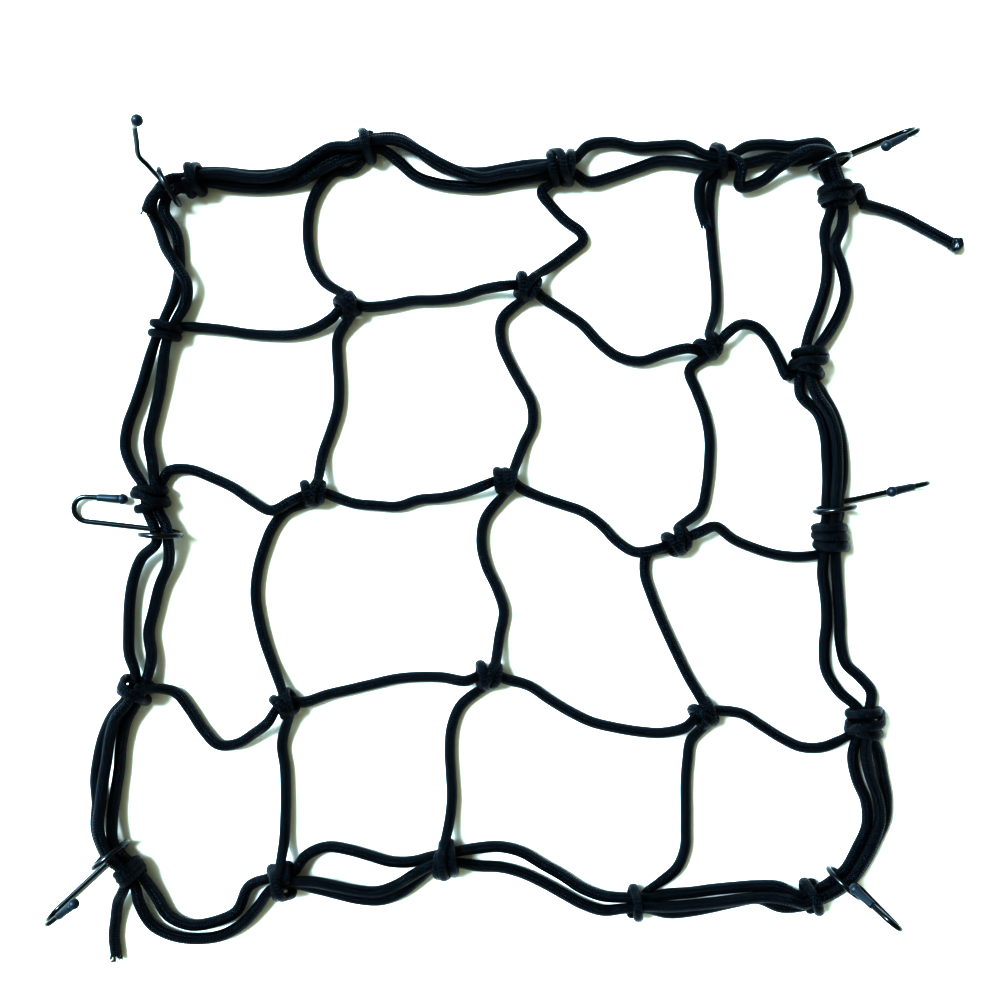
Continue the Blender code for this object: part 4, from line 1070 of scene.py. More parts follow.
def dress(piece: Object, material: Material, body: str, slot: Slot, *nodes: str) -> Object:
    """Give a piece its finish and the body it rides on, and hide the CAD nodes that it stands for.

    Args:
        piece: The piece.
        material: Its finish.
        body: Body that it rides on.
        slot: Its material slot; not used.
        nodes: CAD nodes that it stands for, if any.

    Returns:
        The same piece.
    """
    piece.data.materials.clear()
    piece.data.materials.append(material)
    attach(piece, body)
    if nodes:
        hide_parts(*nodes)
    LOG.info("%s rides on %s and stands for %s", piece.name, body, ", ".join(nodes) or "no node")
    return piece


# ---- finishes
class NodeBuilder:
    """Adds nodes to a tree and links them."""

    def __init__(self, tree: NodeTree) -> None:
        """Keep the tree that the nodes go into."""
        self.tree = tree

    def add(self, kind: str, **settings: object) -> Node:
        """New node of a kind. Settings are its attributes.

        Args:
            kind: Its type.
            settings: Its attributes by name.

        Returns:
            The node.
        """
        node = self.tree.nodes.new(kind)
        for name, value in settings.items():
            setattr(node, name, value)
        return node

    def feed(self, target: NodeSocket, source: object) -> None:
        """Link a socket to another, or set its value.

        Args:
            target: Socket that is fed.
            source: Socket or value for it.
        """
        if isinstance(source, NodeSocket):
            self.tree.links.new(source, target)
        else:
            target.default_value = source

    def math(self, operation: str, *values: object) -> NodeSocket:
        """Result of a Math node.

        Args:
            operation: The node's operation.
            values: Sockets or numbers for its inputs.

        Returns:
            Its output.
        """
        node = self.add("ShaderNodeMath", operation=operation)
        for socket, value in zip(node.inputs, values):
            self.feed(socket, value)
        return node.outputs[0]

    def noise(self, vector: object, scale: object, detail: float = 3.0) -> NodeSocket:
        """Grey value of a Noise Texture.

        Args:
            vector: Where it is read.
            scale: Its scale.
            detail: Its detail.

        Returns:
            Its output.
        """
        node = self.add("ShaderNodeTexNoise")
        self.feed(node.inputs["Vector"], vector)
        self.feed(node.inputs["Scale"], scale)
        node.inputs["Detail"].default_value = detail
        return node.outputs["Fac"]

    def mix(self, share: object, first: object, second: object) -> NodeSocket:
        """Colour mixed from two by a share.

        Args:
            share: Share of the second colour.
            first: First colour.
            second: Second colour.

        Returns:
            Its output.
        """
        node = self.add("ShaderNodeMix", data_type="RGBA")
        self.feed(node.inputs[0], share)
        self.feed(node.inputs[6], first)
        self.feed(node.inputs[7], second)
        return node.outputs[2]

    def scaled(self, value: object, low: float, high: float, to_low: float, to_high: float) -> NodeSocket:
        """Value taken from one range to another, and held within it.

        Args:
            value: The value.
            low: Start of its range.
            high: End of its range.
            to_low: Start of the new range.
            to_high: End of the new range.

        Returns:
            Its output.
        """
        node = self.add("ShaderNodeMapRange")
        self.feed(node.inputs["Value"], value)
        for name, number in (("From Min", low), ("From Max", high), ("To Min", to_low), ("To Max", to_high)):
            node.inputs[name].default_value = number
        return node.outputs["Result"]


def group_node(builder: NodeBuilder, group: NodeTree, **values: object) -> Node:
    """Place a node group in a tree, with values for its inputs. An underscore stands for a space.

    Args:
        builder: Builder of the tree.
        group: The group.
        values: Sockets or numbers by the names of the inputs.

    Returns:
        The group's node.
    """
    node = builder.add("ShaderNodeGroup")
    node.node_tree = group
    for name, value in values.items():
        builder.feed(node.inputs[name.replace("_", " ")], value)
    return node


def new_group(name: str, inputs: tuple[tuple[str, str, object], ...], outputs: tuple[tuple[str, str], ...]
              ) -> tuple[NodeBuilder, Node, Node]:
    """Empty shader node group.

    Args:
        name: Name of the group.
        inputs: Name, socket type and default of each input.
        outputs: Name and socket type of each output.

    Returns:
        Its builder, its input node and its output node.
    """
    tree = bpy.data.node_groups.new(name, "ShaderNodeTree")
    for label, kind, default in inputs:
        socket = tree.interface.new_socket(label, in_out="INPUT", socket_type=kind)
        if default is not None:
            socket.default_value = default
    for label, kind in outputs:
        tree.interface.new_socket(label, in_out="OUTPUT", socket_type=kind)
    builder = NodeBuilder(tree)
    return builder, builder.add("NodeGroupInput"), builder.add("NodeGroupOutput")


def braid_group() -> NodeTree:
    """Braid of yarns round a cord.

    Two sets of yarns wind in opposite directions. With a = N u + v / p and b = N u - v / p, each yarn's
    profile is |sin(pi a)| or |sin(pi b)|, and a chequer of whole numbers of a and b says which set is on top.

    Returns:
        The group, which gives Height and Crest; the sheath paints its highlight on the Crest.
    """
    builder, given, result = new_group(
        "braid",
        (("Yarns", "NodeSocketFloat", 11.0), ("Pitch", "NodeSocketFloat", 1.8)),
        (("Height", "NodeSocketFloat"), ("Crest", "NodeSocketFloat")))
    place = builder.add("ShaderNodeUVMap", uv_map="braid")
    split = builder.add("ShaderNodeSeparateXYZ")
    builder.feed(split.inputs[0], place.outputs["UV"])
    around = builder.math("MULTIPLY", split.outputs["X"], given.outputs["Yarns"])
    along = builder.math("DIVIDE", split.outputs["Y"], given.outputs["Pitch"])
    profiles, cells = [], []
    for operation in ("ADD", "SUBTRACT"):
        winding = builder.math(operation, around, along)
        wave = builder.math("SINE", builder.math("MULTIPLY", winding, math.pi))
        profiles.append(builder.math("ABSOLUTE", wave))
        cells.append(builder.math("FLOOR", winding))
    chequer = builder.math("MODULO", builder.math("ABSOLUTE", builder.math("ADD", *cells)), 2.0)
    over = builder.math("MULTIPLY", chequer, profiles[0])
    under = builder.math("MULTIPLY", builder.math("SUBTRACT", 1.0, chequer), profiles[1])
    height = builder.math("POWER", builder.math("ADD", over, under), YARN_ROUNDNESS)
    builder.feed(result.inputs["Height"], height)
    builder.feed(result.inputs["Crest"], builder.scaled(height, CREST_START, 1.0, 0.0, 1.0))
    return builder.tree


def wear_group() -> NodeTree:
    """Fine grain and broad patches from noise at two scales, the same for every material that uses it.

    Returns:
        The group, which gives Grain and Patches.
    """
    builder, given, result = new_group(
        "grain_and_patches",
        (("Grain Scale", "NodeSocketFloat", 900.0), ("Patch Scale", "NodeSocketFloat", 40.0)),
        (("Grain", "NodeSocketFloat"), ("Patches", "NodeSocketFloat")))
    place = builder.add("ShaderNodeTexCoord")
    for label, scale, detail in (("Grain", "Grain Scale", 2.0), ("Patches", "Patch Scale", 3.0)):
        value = builder.noise(place.outputs["Object"], given.outputs[scale], detail)
        builder.feed(result.inputs[label], builder.scaled(value, *NOISE_RANGE, 0.0, 1.0))
    return builder.tree


@dataclass(frozen=True)
class Finish:
    """A dielectric or painted surface: colours of its low and high places, gloss and relief. On the braided
    sheath the high colour is a painted highlight on the yarn crests and the low colour is painted shade in
    the valleys; on the other finishes the two colours are random patches of tone.
    """

    name: str
    low: Colour
    high: Colour
    roughness: tuple[float, float]
    specular: float
    specular_tint: Colour
    relief: float
    relief_depth: float
    coat: float = 0.0
    coat_roughness: float = 0.08

    def start(self) -> tuple[NodeBuilder, Material, Node]:
        """New material with the values that are the same all over set on its shader.

        Returns:
            Builder of its tree, the material and its Principled shader.
        """
        material = bpy.data.materials.new(self.name)
        material.use_nodes = True
        shader = material.node_tree.nodes["Principled BSDF"]
        shader.inputs["Specular IOR Level"].default_value = self.specular
        shader.inputs["Specular Tint"].default_value = (*self.specular_tint, 1.0)
        shader.inputs["Coat Weight"].default_value = self.coat
        shader.inputs["Coat Roughness"].default_value = self.coat_roughness
        return NodeBuilder(material.node_tree), material, shader

    def finish(self, builder: NodeBuilder, shader: Node, shade: object, gloss: object,
               height: object) -> None:
        """Feed the shader: a colour share, a roughness share and a relief height.

        Args:
            builder: Builder of the material's tree.
            shader: The Principled shader.
            shade: Share of the high colour. On the sheath it is a painted crest highlight against painted
                valley shade; on other finishes it is random patches.
            gloss: Share between the two roughnesses.
            height: Height for the relief.
        """
        builder.feed(shader.inputs["Base Color"], builder.mix(shade, (*self.low, 1.0), (*self.high, 1.0)))
        builder.feed(shader.inputs["Roughness"],
                     builder.scaled(gloss, 0.0, 1.0, self.roughness[0], self.roughness[1]))
        bump = builder.add("ShaderNodeBump")
        bump.inputs["Strength"].default_value = self.relief
        bump.inputs["Distance"].default_value = self.relief_depth
        builder.feed(bump.inputs["Height"], height)
        builder.feed(shader.inputs["Normal"], bump.outputs["Normal"])


@dataclass(frozen=True)
class BraidedSheath(Finish):
    """Woven polyester sheath of the elastic cord."""

    yarns: float = 11.0
    yarn_pitch: float = 1.15
    grain_scale: float = 2600.0
    grain_share: float = 0.25
    patch_scale: float = 55.0
    darkest_patch: float = 0.55

    def build(self, braid: NodeTree, wear: NodeTree) -> Material:
        """Material whose gloss and relief follow the braid. Its colour is a painted highlight on the yarn
        crests and painted shade in the valleys, dimmed in random patches.

        Args:
            braid: Group of the braid.
            wear: Group of the grain and the patches.

        Returns:
            The material.
        """
        builder, material, shader = self.start()
        weave = group_node(builder, braid, Yarns=self.yarns, Pitch=self.yarn_pitch)
        noise = group_node(builder, wear, Grain_Scale=self.grain_scale, Patch_Scale=self.patch_scale)
        # painted highlight on the yarn crests and painted shade in the valleys, dimmed in random patches of
        # tone
        shade = builder.math("MULTIPLY", weave.outputs["Crest"],
                             builder.scaled(noise.outputs["Patches"], 0.0, 1.0, self.darkest_patch, 1.0))
        height = builder.math("ADD", weave.outputs["Height"],
                              builder.math("MULTIPLY", noise.outputs["Grain"], self.grain_share))
        self.finish(builder, shader, shade, builder.math("SUBTRACT", 1.0, weave.outputs["Crest"]), height)
        return material


@dataclass(frozen=True)
class GrainedSurface(Finish):
    """Enamel, moulded plastic, rubber or yarn with a fine grain and broad patches."""

    grain_scale: float = 900.0
    patch_scale: float = 60.0

    def build(self, wear: NodeTree) -> Material:
        """Material whose colour and gloss follow the patches and whose relief is the grain.

        Args:
            wear: Group of the grain and the patches.

        Returns:
            The material.
        """
        builder, material, shader = self.start()
        noise = group_node(builder, wear, Grain_Scale=self.grain_scale, Patch_Scale=self.patch_scale)
        self.finish(builder, shader, noise.outputs["Patches"], noise.outputs["Patches"],
                    noise.outputs["Grain"])
        return material


@dataclass
class Finishes:
    """All materials of the net."""

    def __post_init__(self) -> None:
        """Build the shared groups and every material."""
        braid, wear = braid_group(), wear_group()
        blue = (0.42, 0.72, 1.0)
        # the sheath's high colour is a painted highlight on the yarn crests, and its low colour is painted
        # shade in the valleys
        self.sheath = BraidedSheath(
            "braided_sheath", (0.0001, 0.0002, 0.0005), (0.0012, 0.0026, 0.0058), (0.18, 0.42), 0.38, blue,
            1.0, 0.00040).build(braid, wear)
        self.wire = GrainedSurface(
            "black_enamel", (0.001, 0.002, 0.003), (0.004, 0.008, 0.012), (0.20, 0.34), 0.4,
            (0.75, 0.92, 1.0), 0.10, 0.00006, coat=0.4, grain_scale=700.0).build(wear)
        self.cap = GrainedSurface(
            "satin_cap", (0.010, 0.018, 0.028), (0.022, 0.036, 0.052), (0.34, 0.48), 0.45,
            (0.8, 0.93, 1.0), 0.3, 0.00006, grain_scale=1800.0).build(wear)
        self.melt = GrainedSurface(
            "melted_sheath", (0.003, 0.0045, 0.007), (0.012, 0.018, 0.026), (0.22, 0.45), 0.5,
            (0.8, 0.93, 1.0), 0.5, 0.00020).build(wear)
        self.rubber = GrainedSurface(
            "rubber_core", (0.42, 0.36, 0.16), (0.72, 0.66, 0.36), (0.5, 0.7), 0.4, (1.0, 1.0, 1.0),
            0.3, 0.00008, grain_scale=1500.0).build(wear)
        self.yarn = GrainedSurface(
            "loose_yarn", (0.003, 0.005, 0.009), (0.014, 0.024, 0.038), (0.45, 0.65), 0.5, blue,
            0.4, 0.00008, grain_scale=2400.0).build(wear)


# ---- cords and knots
@dataclass(frozen=True)
class Winding:
    """Gathered strands that a cord is wound round, seen along their run."""

    middle: Array
    along: Array
    left: Array
    centres: Array
    strand_r: float

    def outline(self, angles: Array) -> tuple[Array, Array]:
        """Outline of the strands at angles about their middle, and its outward directions.

        The outline is the set of points c + r n over all directions n, where c is the strand centre that
        lies furthest along n. Between two strands it is a straight line.

        Args:
            angles: Degrees from the left, over the top.

        Returns:
            Places and unit directions, each as (left, up).
        """
        turn = np.radians(np.arange(0.0, 360.0, 2.0))
        normals = np.column_stack((np.cos(turn), np.sin(turn)))
        centres = self.centres[np.argmax(normals @ self.centres.T, axis=1)]
        points = centres + self.strand_r * normals
        polar = np.degrees(np.arctan2(points[:, 1], points[:, 0]))
        places = [np.interp(angles, polar, column, period=360.0) for column in points.T]
        outward = [np.interp(angles, polar, column, period=360.0) for column in normals.T]
        return np.column_stack(places), unit(np.column_stack(outward))

    def wound(self, knot: KnotTurn, thick: float, wide: float, clearance: float = 0.12) -> Array:
        """Rows of a cord wound round the strands.

        The cord's middle is the outline moved outwards by half its thickness and the lift, and along the
        strands by the shift. Shift and lift are eased between the rows of the knot's style.

        Args:
            knot: Style of the knot.
            thick: Half thickness of the cord off the strands.
            wide: Half width of the cord along the strands.
            clearance: Space under the cord.

        Returns:
            Rows x, y, z, half thickness, half width and the normal's x, y, z.
        """
        marks = np.array(knot.style.value, dtype=float)
        reach = (-1.0 if knot.mirrored else 1.0) * knot.scale * knot.stretch
        if knot.arrives is not None:
            marks[0, 1] = knot.arrives / reach
        swept = np.concatenate(([0.0], np.cumsum(np.abs(np.diff(marks[:, 0])))))
        places = np.linspace(0.0, swept[-1], math.ceil(swept[-1] / WIND_STEP) + 1)
        angles, shifts, lifts = (np.interp(places, swept, column) for column in marks.T)
        shifts, lifts = (np.convolve(np.pad(values, 2, mode="edge"), WIND_EASE, mode="valid")
                         for values in (shifts, lifts))
        spin, _ = heading_vectors(knot.turned)
        along = spin[0] * self.along + spin[1] * self.left
        left = spin[0] * self.left - spin[1] * self.along
        points, outward = self.outline(angles)
        points = points + outward * (clearance + thick + lifts)[:, None]
        place = (self.middle + knot.scale * (points[:, :1] * left + points[:, 1:] * UP)
                 + (reach * shifts)[:, None] * along)
        place[:, 2] = np.maximum(place[:, 2], thick * knot.scale)
        normal = outward[:, :1] * left + outward[:, 1:] * UP
        size = np.full((len(place), 2), (thick, wide)) * knot.scale
        return np.column_stack((place, size, normal))


def upright_rows(points: Array, sizes: object) -> Array:
    """Rows of a tube whose normals point up, from its points and one size, or one or two for each point."""
    sizes = np.broadcast_to(sizes, (len(points), 2))
    return np.column_stack((points, sizes, np.tile(UP, (len(points), 1))))


def free_rows(table: Array, lift: float, radius: float) -> Array:
    """Rows of a round cord from a layout table.

    Args:
        table: Rows x, y, z, half thickness and half width.
        lift: How far the cord's middle is moved up.
        radius: Largest radius of the cord.

    Returns:
        Rows x, y, z, half thickness, half width and the normal's x, y, z.
    """
    return upright_rows(table[:, :3] + lift * UP, np.minimum(table[:, 3:5], radius))


@dataclass
class NetCords:
    """Border strands, mesh cords, knots, stubs and tails. Sizes are in millimetres.

    The cords are drawn a little thinner than the CAD's. Each kind has its radius, and a lift that moves its
    middle so that it lies on the surface.
    """

    layout: NetLayout
    tables: dict[str, Array]
    finishes: Finishes
    border_r: float = 2.3
    border_lift: float = 0.135
    mesh_r: float = 2.2
    mesh_lift: float = 0.035
    tail_r: float = 2.25
    tail_lift: float = -0.25
    sides: int = 18
    ring_step: float = 1.0
    wrap_thick: float = 1.6
    wrap_wide: float = 1.98
    inner_neck_r: float = 1.9
    inner_height: float = 5.3
    inner_reach: float = 3.2
    inner_clear: float = 9.0
    edge_clear: float = 9.5
    end_depth: float = 0.8
    end_shares: tuple[float, ...] = (0.94, 0.75, 0.4)
    tail_end_depth: float = 0.5
    tail_end_shares: tuple[float, ...] = (0.92, 0.6)

    def tube(self, name: str, rows: Array) -> Object:
        """Cord along a smooth curve through its rows.

        Args:
            name: Name of the new object.
            rows: Rows x, y, z, half thickness, half width and the normal's x, y, z.

        Returns:
            The new object.
        """
        rows = spaced(catmull_rom(rows[:, :3], rows, PER_SPAN), self.ring_step)
        rings = tube_rings(rows, self.sides)
        return grid_mesh(name, rounded_ends(rings, self.end_depth, self.end_shares), fit_floor=True)

    def gathered(self, name: str) -> Winding:
        """Border strands gathered at a station.

        Args:
            name: The station.

        Returns:
            What a cord is wound round there.
        """
        station = STATIONS[name]
        along, left = heading_vectors(station.heading)
        middle = np.array((station.x, station.y, self.layout.station_height(name) + self.border_lift))
        pitch = self.layout.pitch(station.place)
        return Winding(middle, along, left, pitch * np.array(station.bundle.value),
                       self.layout.neck_radius(station.place))

    def border(self) -> None:
        """The fifteen border strands."""
        for name in BORDER:
            rows = free_rows(self.tables[name], self.border_lift, self.border_r)
            piece = self.tube(f"{name}_braid", rows)
            dress(piece, self.finishes.sheath, NET_BODY, Slot.CORD, name)

    def row_directions(self) -> dict[str, Array]:
        """Level direction in which the row cord runs through each inner knot.

        Returns:
            Name of each inner knot to a unit vector.
        """
        directions = {}
        for name, entries in ROWS.items():
            inner = [entry for entry in entries if entry in INNER_KNOTS]
            for number, knot in enumerate(inner):
                before = self.tables[f"{name}{'abcd'[number]}"][-1, :2]
                after = self.tables[f"{name}{'abcd'[number + 1]}"][0, :2]
                directions[knot] = np.array((*unit(after - before), 0.0))
        return directions

    def edge_wrap(self, station: str) -> Array:
        """Rows of a mesh cord's knot round the border, from where the cord arrives."""
        return self.gathered(station).wound(EDGE_KNOTS[station], self.wrap_thick, self.wrap_wide)

    def clear_of(self, station: str, rows: Array) -> Array:
        """Rows that lie clear of an edge knot."""
        knot = STATIONS[station]
        return rows[np.hypot(rows[:, 0] - knot.x, rows[:, 1] - knot.y) > self.edge_clear]

    def rows(self) -> None:
        """The three row cords, which run straight through the inner knots and are tied to the border."""
        directions = self.row_directions()
        for name, entries in ROWS.items():
            parts = []
            lengths = [free_rows(self.tables[f"{name}{letter}"], self.mesh_lift, self.mesh_r)
                       for letter in "abcd"]
            inner = [entry for entry in entries if entry in INNER_KNOTS]
            for station, number in ((entries[0], 0), (entries[-1], 3)):
                lengths[number] = self.clear_of(station, lengths[number])
            parts.append(self.edge_wrap(entries[0])[::-1])
            for number, length in enumerate(lengths):
                parts.append(length)
                if number < len(inner):
                    parts.append(self.pole_rows(inner[number], directions[inner[number]]))
            parts.append(self.edge_wrap(entries[-1]))
            piece = self.tube(f"{name}_braid", np.vstack(parts))
            dress(piece, self.finishes.sheath, NET_BODY, Slot.CORD, *(f"{name}{letter}" for letter in "abcd"))

    def pole_rows(self, knot: str, direction: Array) -> Array:
        """Rows of a row cord inside an inner knot.

        Args:
            knot: The inner knot.
            direction: Level direction of the row cord.

        Returns:
            Two rows.
        """
        centre = np.array((*INNER_KNOTS[knot], self.inner_height))
        places = np.array([centre + shift * direction for shift in (-self.inner_reach, self.inner_reach)])
        return upright_rows(places, self.inner_neck_r)

    def columns(self) -> None:
        """The three column cords, each wound round the row cord at every inner knot."""
        directions = self.row_directions()
        for name, entries in COLUMNS.items():
            rows = free_rows(self.tables[name], self.mesh_lift, self.mesh_r)
            for station in (entries[0], entries[-1]):
                rows = self.clear_of(station, rows)
            parts = [self.edge_wrap(entries[0])[::-1]]
            for knot in (entry for entry in entries if entry in INNER_KNOTS):
                centre = INNER_KNOTS[knot]
                far = np.hypot(rows[:, 0] - centre[0], rows[:, 1] - centre[1])
                near = np.flatnonzero(far <= self.inner_clear)
                parts.append(rows[:near[0]])
                rows = rows[near[-1] + 1:]
                along = directions[knot]
                left = np.array((-along[1], along[0], 0.0))
                pole = Winding(np.array((*centre, self.inner_height)), along, left, np.zeros((1, 2)),
                               self.inner_neck_r)
                parts.append(pole.wound(CENTRE_KNOTS[knot], self.wrap_thick, self.wrap_wide))
            parts.append(rows)
            parts.append(self.edge_wrap(entries[-1]))
            piece = self.tube(f"{name}_braid", np.vstack(parts))
            dress(piece, self.finishes.sheath, NET_BODY, Slot.CORD, name)

    def corners(self) -> None:
        """The four corner knots, whose both ends are tucked under."""
        for station, label in CORNERS.items():
            piece = self.tube(f"corner_wrap_{label}", self.edge_wrap(station))
            dress(piece, self.finishes.sheath, NET_BODY, Slot.CORD, f"corner_knot_{label}")

    def rooted(self, name: str, rows: Array) -> Array:
        """Rows of a short cord with those of its root in the knot put first."""
        root = np.array([[*point, self.tail_r, self.tail_r, *UP] for point in ROOTS.get(name, ())])
        return np.vstack((root.reshape(-1, 8), rows))

    def stubs(self) -> None:
        """The two short ends, and the loop from which the upper right tail leaves its knot."""
        for name in STUBS:
            rows = free_rows(self.tables[name], self.border_lift, self.border_r)
            piece = self.tube(f"{name}_braid", self.rooted(name, rows))
            dress(piece, self.finishes.sheath, NET_BODY, Slot.CORD, name)
        loop = self.tube("tail_loop_top_right", self.rooted("tail_loop_top_right", np.empty((0, 8))))
        dress(loop, self.finishes.sheath, NET_BODY, Slot.CORD)

    def tail(self, name: str, pieces: list[Object]) -> None:
        """A free cord end.

        Args:
            name: Name of its CAD node.
            pieces: What is on its end; not used.
        """
        rows = self.layout.smooth_points([self.layout.free_row(point) for point in TAILS[name]])
        rows = self.rooted(name, free_rows(rows, self.tail_lift, self.tail_r))
        rows = spaced(catmull_rom(rows[:, :3], rows, PER_SPAN), self.ring_step)
        rings = rounded_ends(tube_rings(rows, self.sides), self.tail_end_depth, self.tail_end_shares)
        piece = grid_mesh(f"{name}_braid", rings, fit_floor=True)
        dress(piece, self.finishes.sheath, NET_BODY, Slot.CORD, name)


@dataclass
class CordEnds:
    """What shows at the cut ends: a melted lump, loose yarns and the rubber core."""

    finishes: Finishes
    seed: int = 11
    yarn_r: float = 0.20
    yarn_spread: float = 2.1
    yarn_length: float = 2.6
    rubber_r: float = 0.34
    rubber_spread: float = 1.4
    rubber_length: float = 1.6
    rooted: float = 1.2
    start_range: tuple[float, float] = (0.1, 1.0)
    length_range: tuple[float, float] = (0.55, 1.0)
    bow_range: tuple[float, float] = (0.2, 1.1)
    bow_length: float = 4.0
    thread_points: int = 7
    thread_end: float = 0.6
    sides: int = 8
    melt_sides: int = 24
    melt_clearance: float = 0.02
    melt_profile: tuple[tuple[float, float], ...] = (       # distance along the cord, radius
        (-2.2, 2.45), (-1.2, 2.75), (-0.2, 3.05), (0.8, 3.2), (1.7, 3.0), (2.4, 2.3), (2.8, 1.3), (2.95, 0.5))

    def melted(self, name: str, place: Array, direction: Array) -> Object:
        """Lump where the sheath was sealed with a flame.

        Its radius along the cord follows a short profile, and round the cord it is 1 + 0.10 sin(3 phi + s)
        + 0.07 sin(5 phi - 2 s), where s is the distance along it.

        Args:
            name: Name of the new object.
            place: End of the cord.
            direction: Way the cord runs.

        Returns:
            The new object.
        """
        profile = np.array(self.melt_profile)
        dense = spaced(catmull_rom(profile, profile, 4), 0.3)
        path = place + dense[:, :1] * direction
        _, ups, across = carried_frames(path, UP)
        phi = 2 * math.pi * np.arange(self.melt_sides) / self.melt_sides
        uneven = 1 + 0.10 * np.sin(3 * phi + dense[:, :1]) + 0.07 * np.sin(5 * phi - 2 * dense[:, :1])
        reach = dense[:, 1:] * uneven
        rings = path[:, None, :] + reach[:, :, None] * (np.cos(phi)[None, :, None] * across[:, None, :]
                                                        + np.sin(phi)[None, :, None] * ups[:, None, :])
        rings[:, :, 2] = np.maximum(rings[:, :, 2], self.melt_clearance)
        return dress(grid_mesh(name, rings, fit_floor=True), self.finishes.melt, NET_BODY, Slot.CORD)

    def brush(self, name: str, place: Array, direction: Array, count: int, radius: float, spread: float,
              length: float, material: Material) -> Object:
        """Bundle of loose threads that fan out from a cut end.

        Each thread starts at a random place within the cord and bends outwards with the square of the
        distance along it.

        Args:
            name: Name of the new object.
            place: End of the cord.
            direction: Way the cord runs.
            count: Number of threads.
            radius: Radius of a thread.
            spread: How far the threads start from the middle, at most.
            length: Longest thread.
            material: Finish of the threads.

        Returns:
            The new object.
        """
        random = np.random.default_rng(self.seed + count)
        across = unit(np.cross(UP, direction))
        rise = np.cross(direction, across)
        threads = []
        for _ in range(count):
            angle = random.uniform(0.0, 2 * math.pi)
            out = math.cos(angle) * across + math.sin(angle) * rise
            off = spread * math.sqrt(random.uniform(*self.start_range))
            start = place + off * out - self.rooted * direction
            share = np.linspace(0.0, 1.0, self.thread_points)[:, None]
            reach = length * random.uniform(*self.length_range) + self.rooted
            bow = random.uniform(*self.bow_range) * (reach / self.bow_length)
            path = start + share * reach * direction + share ** 2 * bow * out
            path[:, 2] = np.maximum(path[:, 2], radius)
            rings = tube_rings(upright_rows(path, radius), self.sides)
            rings = rounded_ends(rings, radius * self.thread_end, (0.7,))
            threads.append(grid_mesh("thread", rings, fit_floor=True))
        return dress(joined(name, threads), material, NET_BODY, Slot.CORD)

    def frayed(self, label: str, place: Array, direction: Array, yarns: int, cores: int) -> list[Object]:
        """Loose yarns of the sheath round the ends of the rubber core.

        Args:
            label: Which cord end it is.
            place: End of the cord.
            direction: Way the cord runs.
            yarns: Number of loose yarns.
            cores: Number of rubber ends, which may be nought.

        Returns:
            The new objects.
        """
        made = [self.brush(f"loose_yarns_{label}", place, direction, yarns, self.yarn_r, self.yarn_spread,
                           self.yarn_length, self.finishes.yarn)]
        if cores:
            made.append(self.brush(f"rubber_ends_{label}", place, direction, cores, self.rubber_r,
                                   self.rubber_spread, self.rubber_length, self.finishes.rubber))
        return made


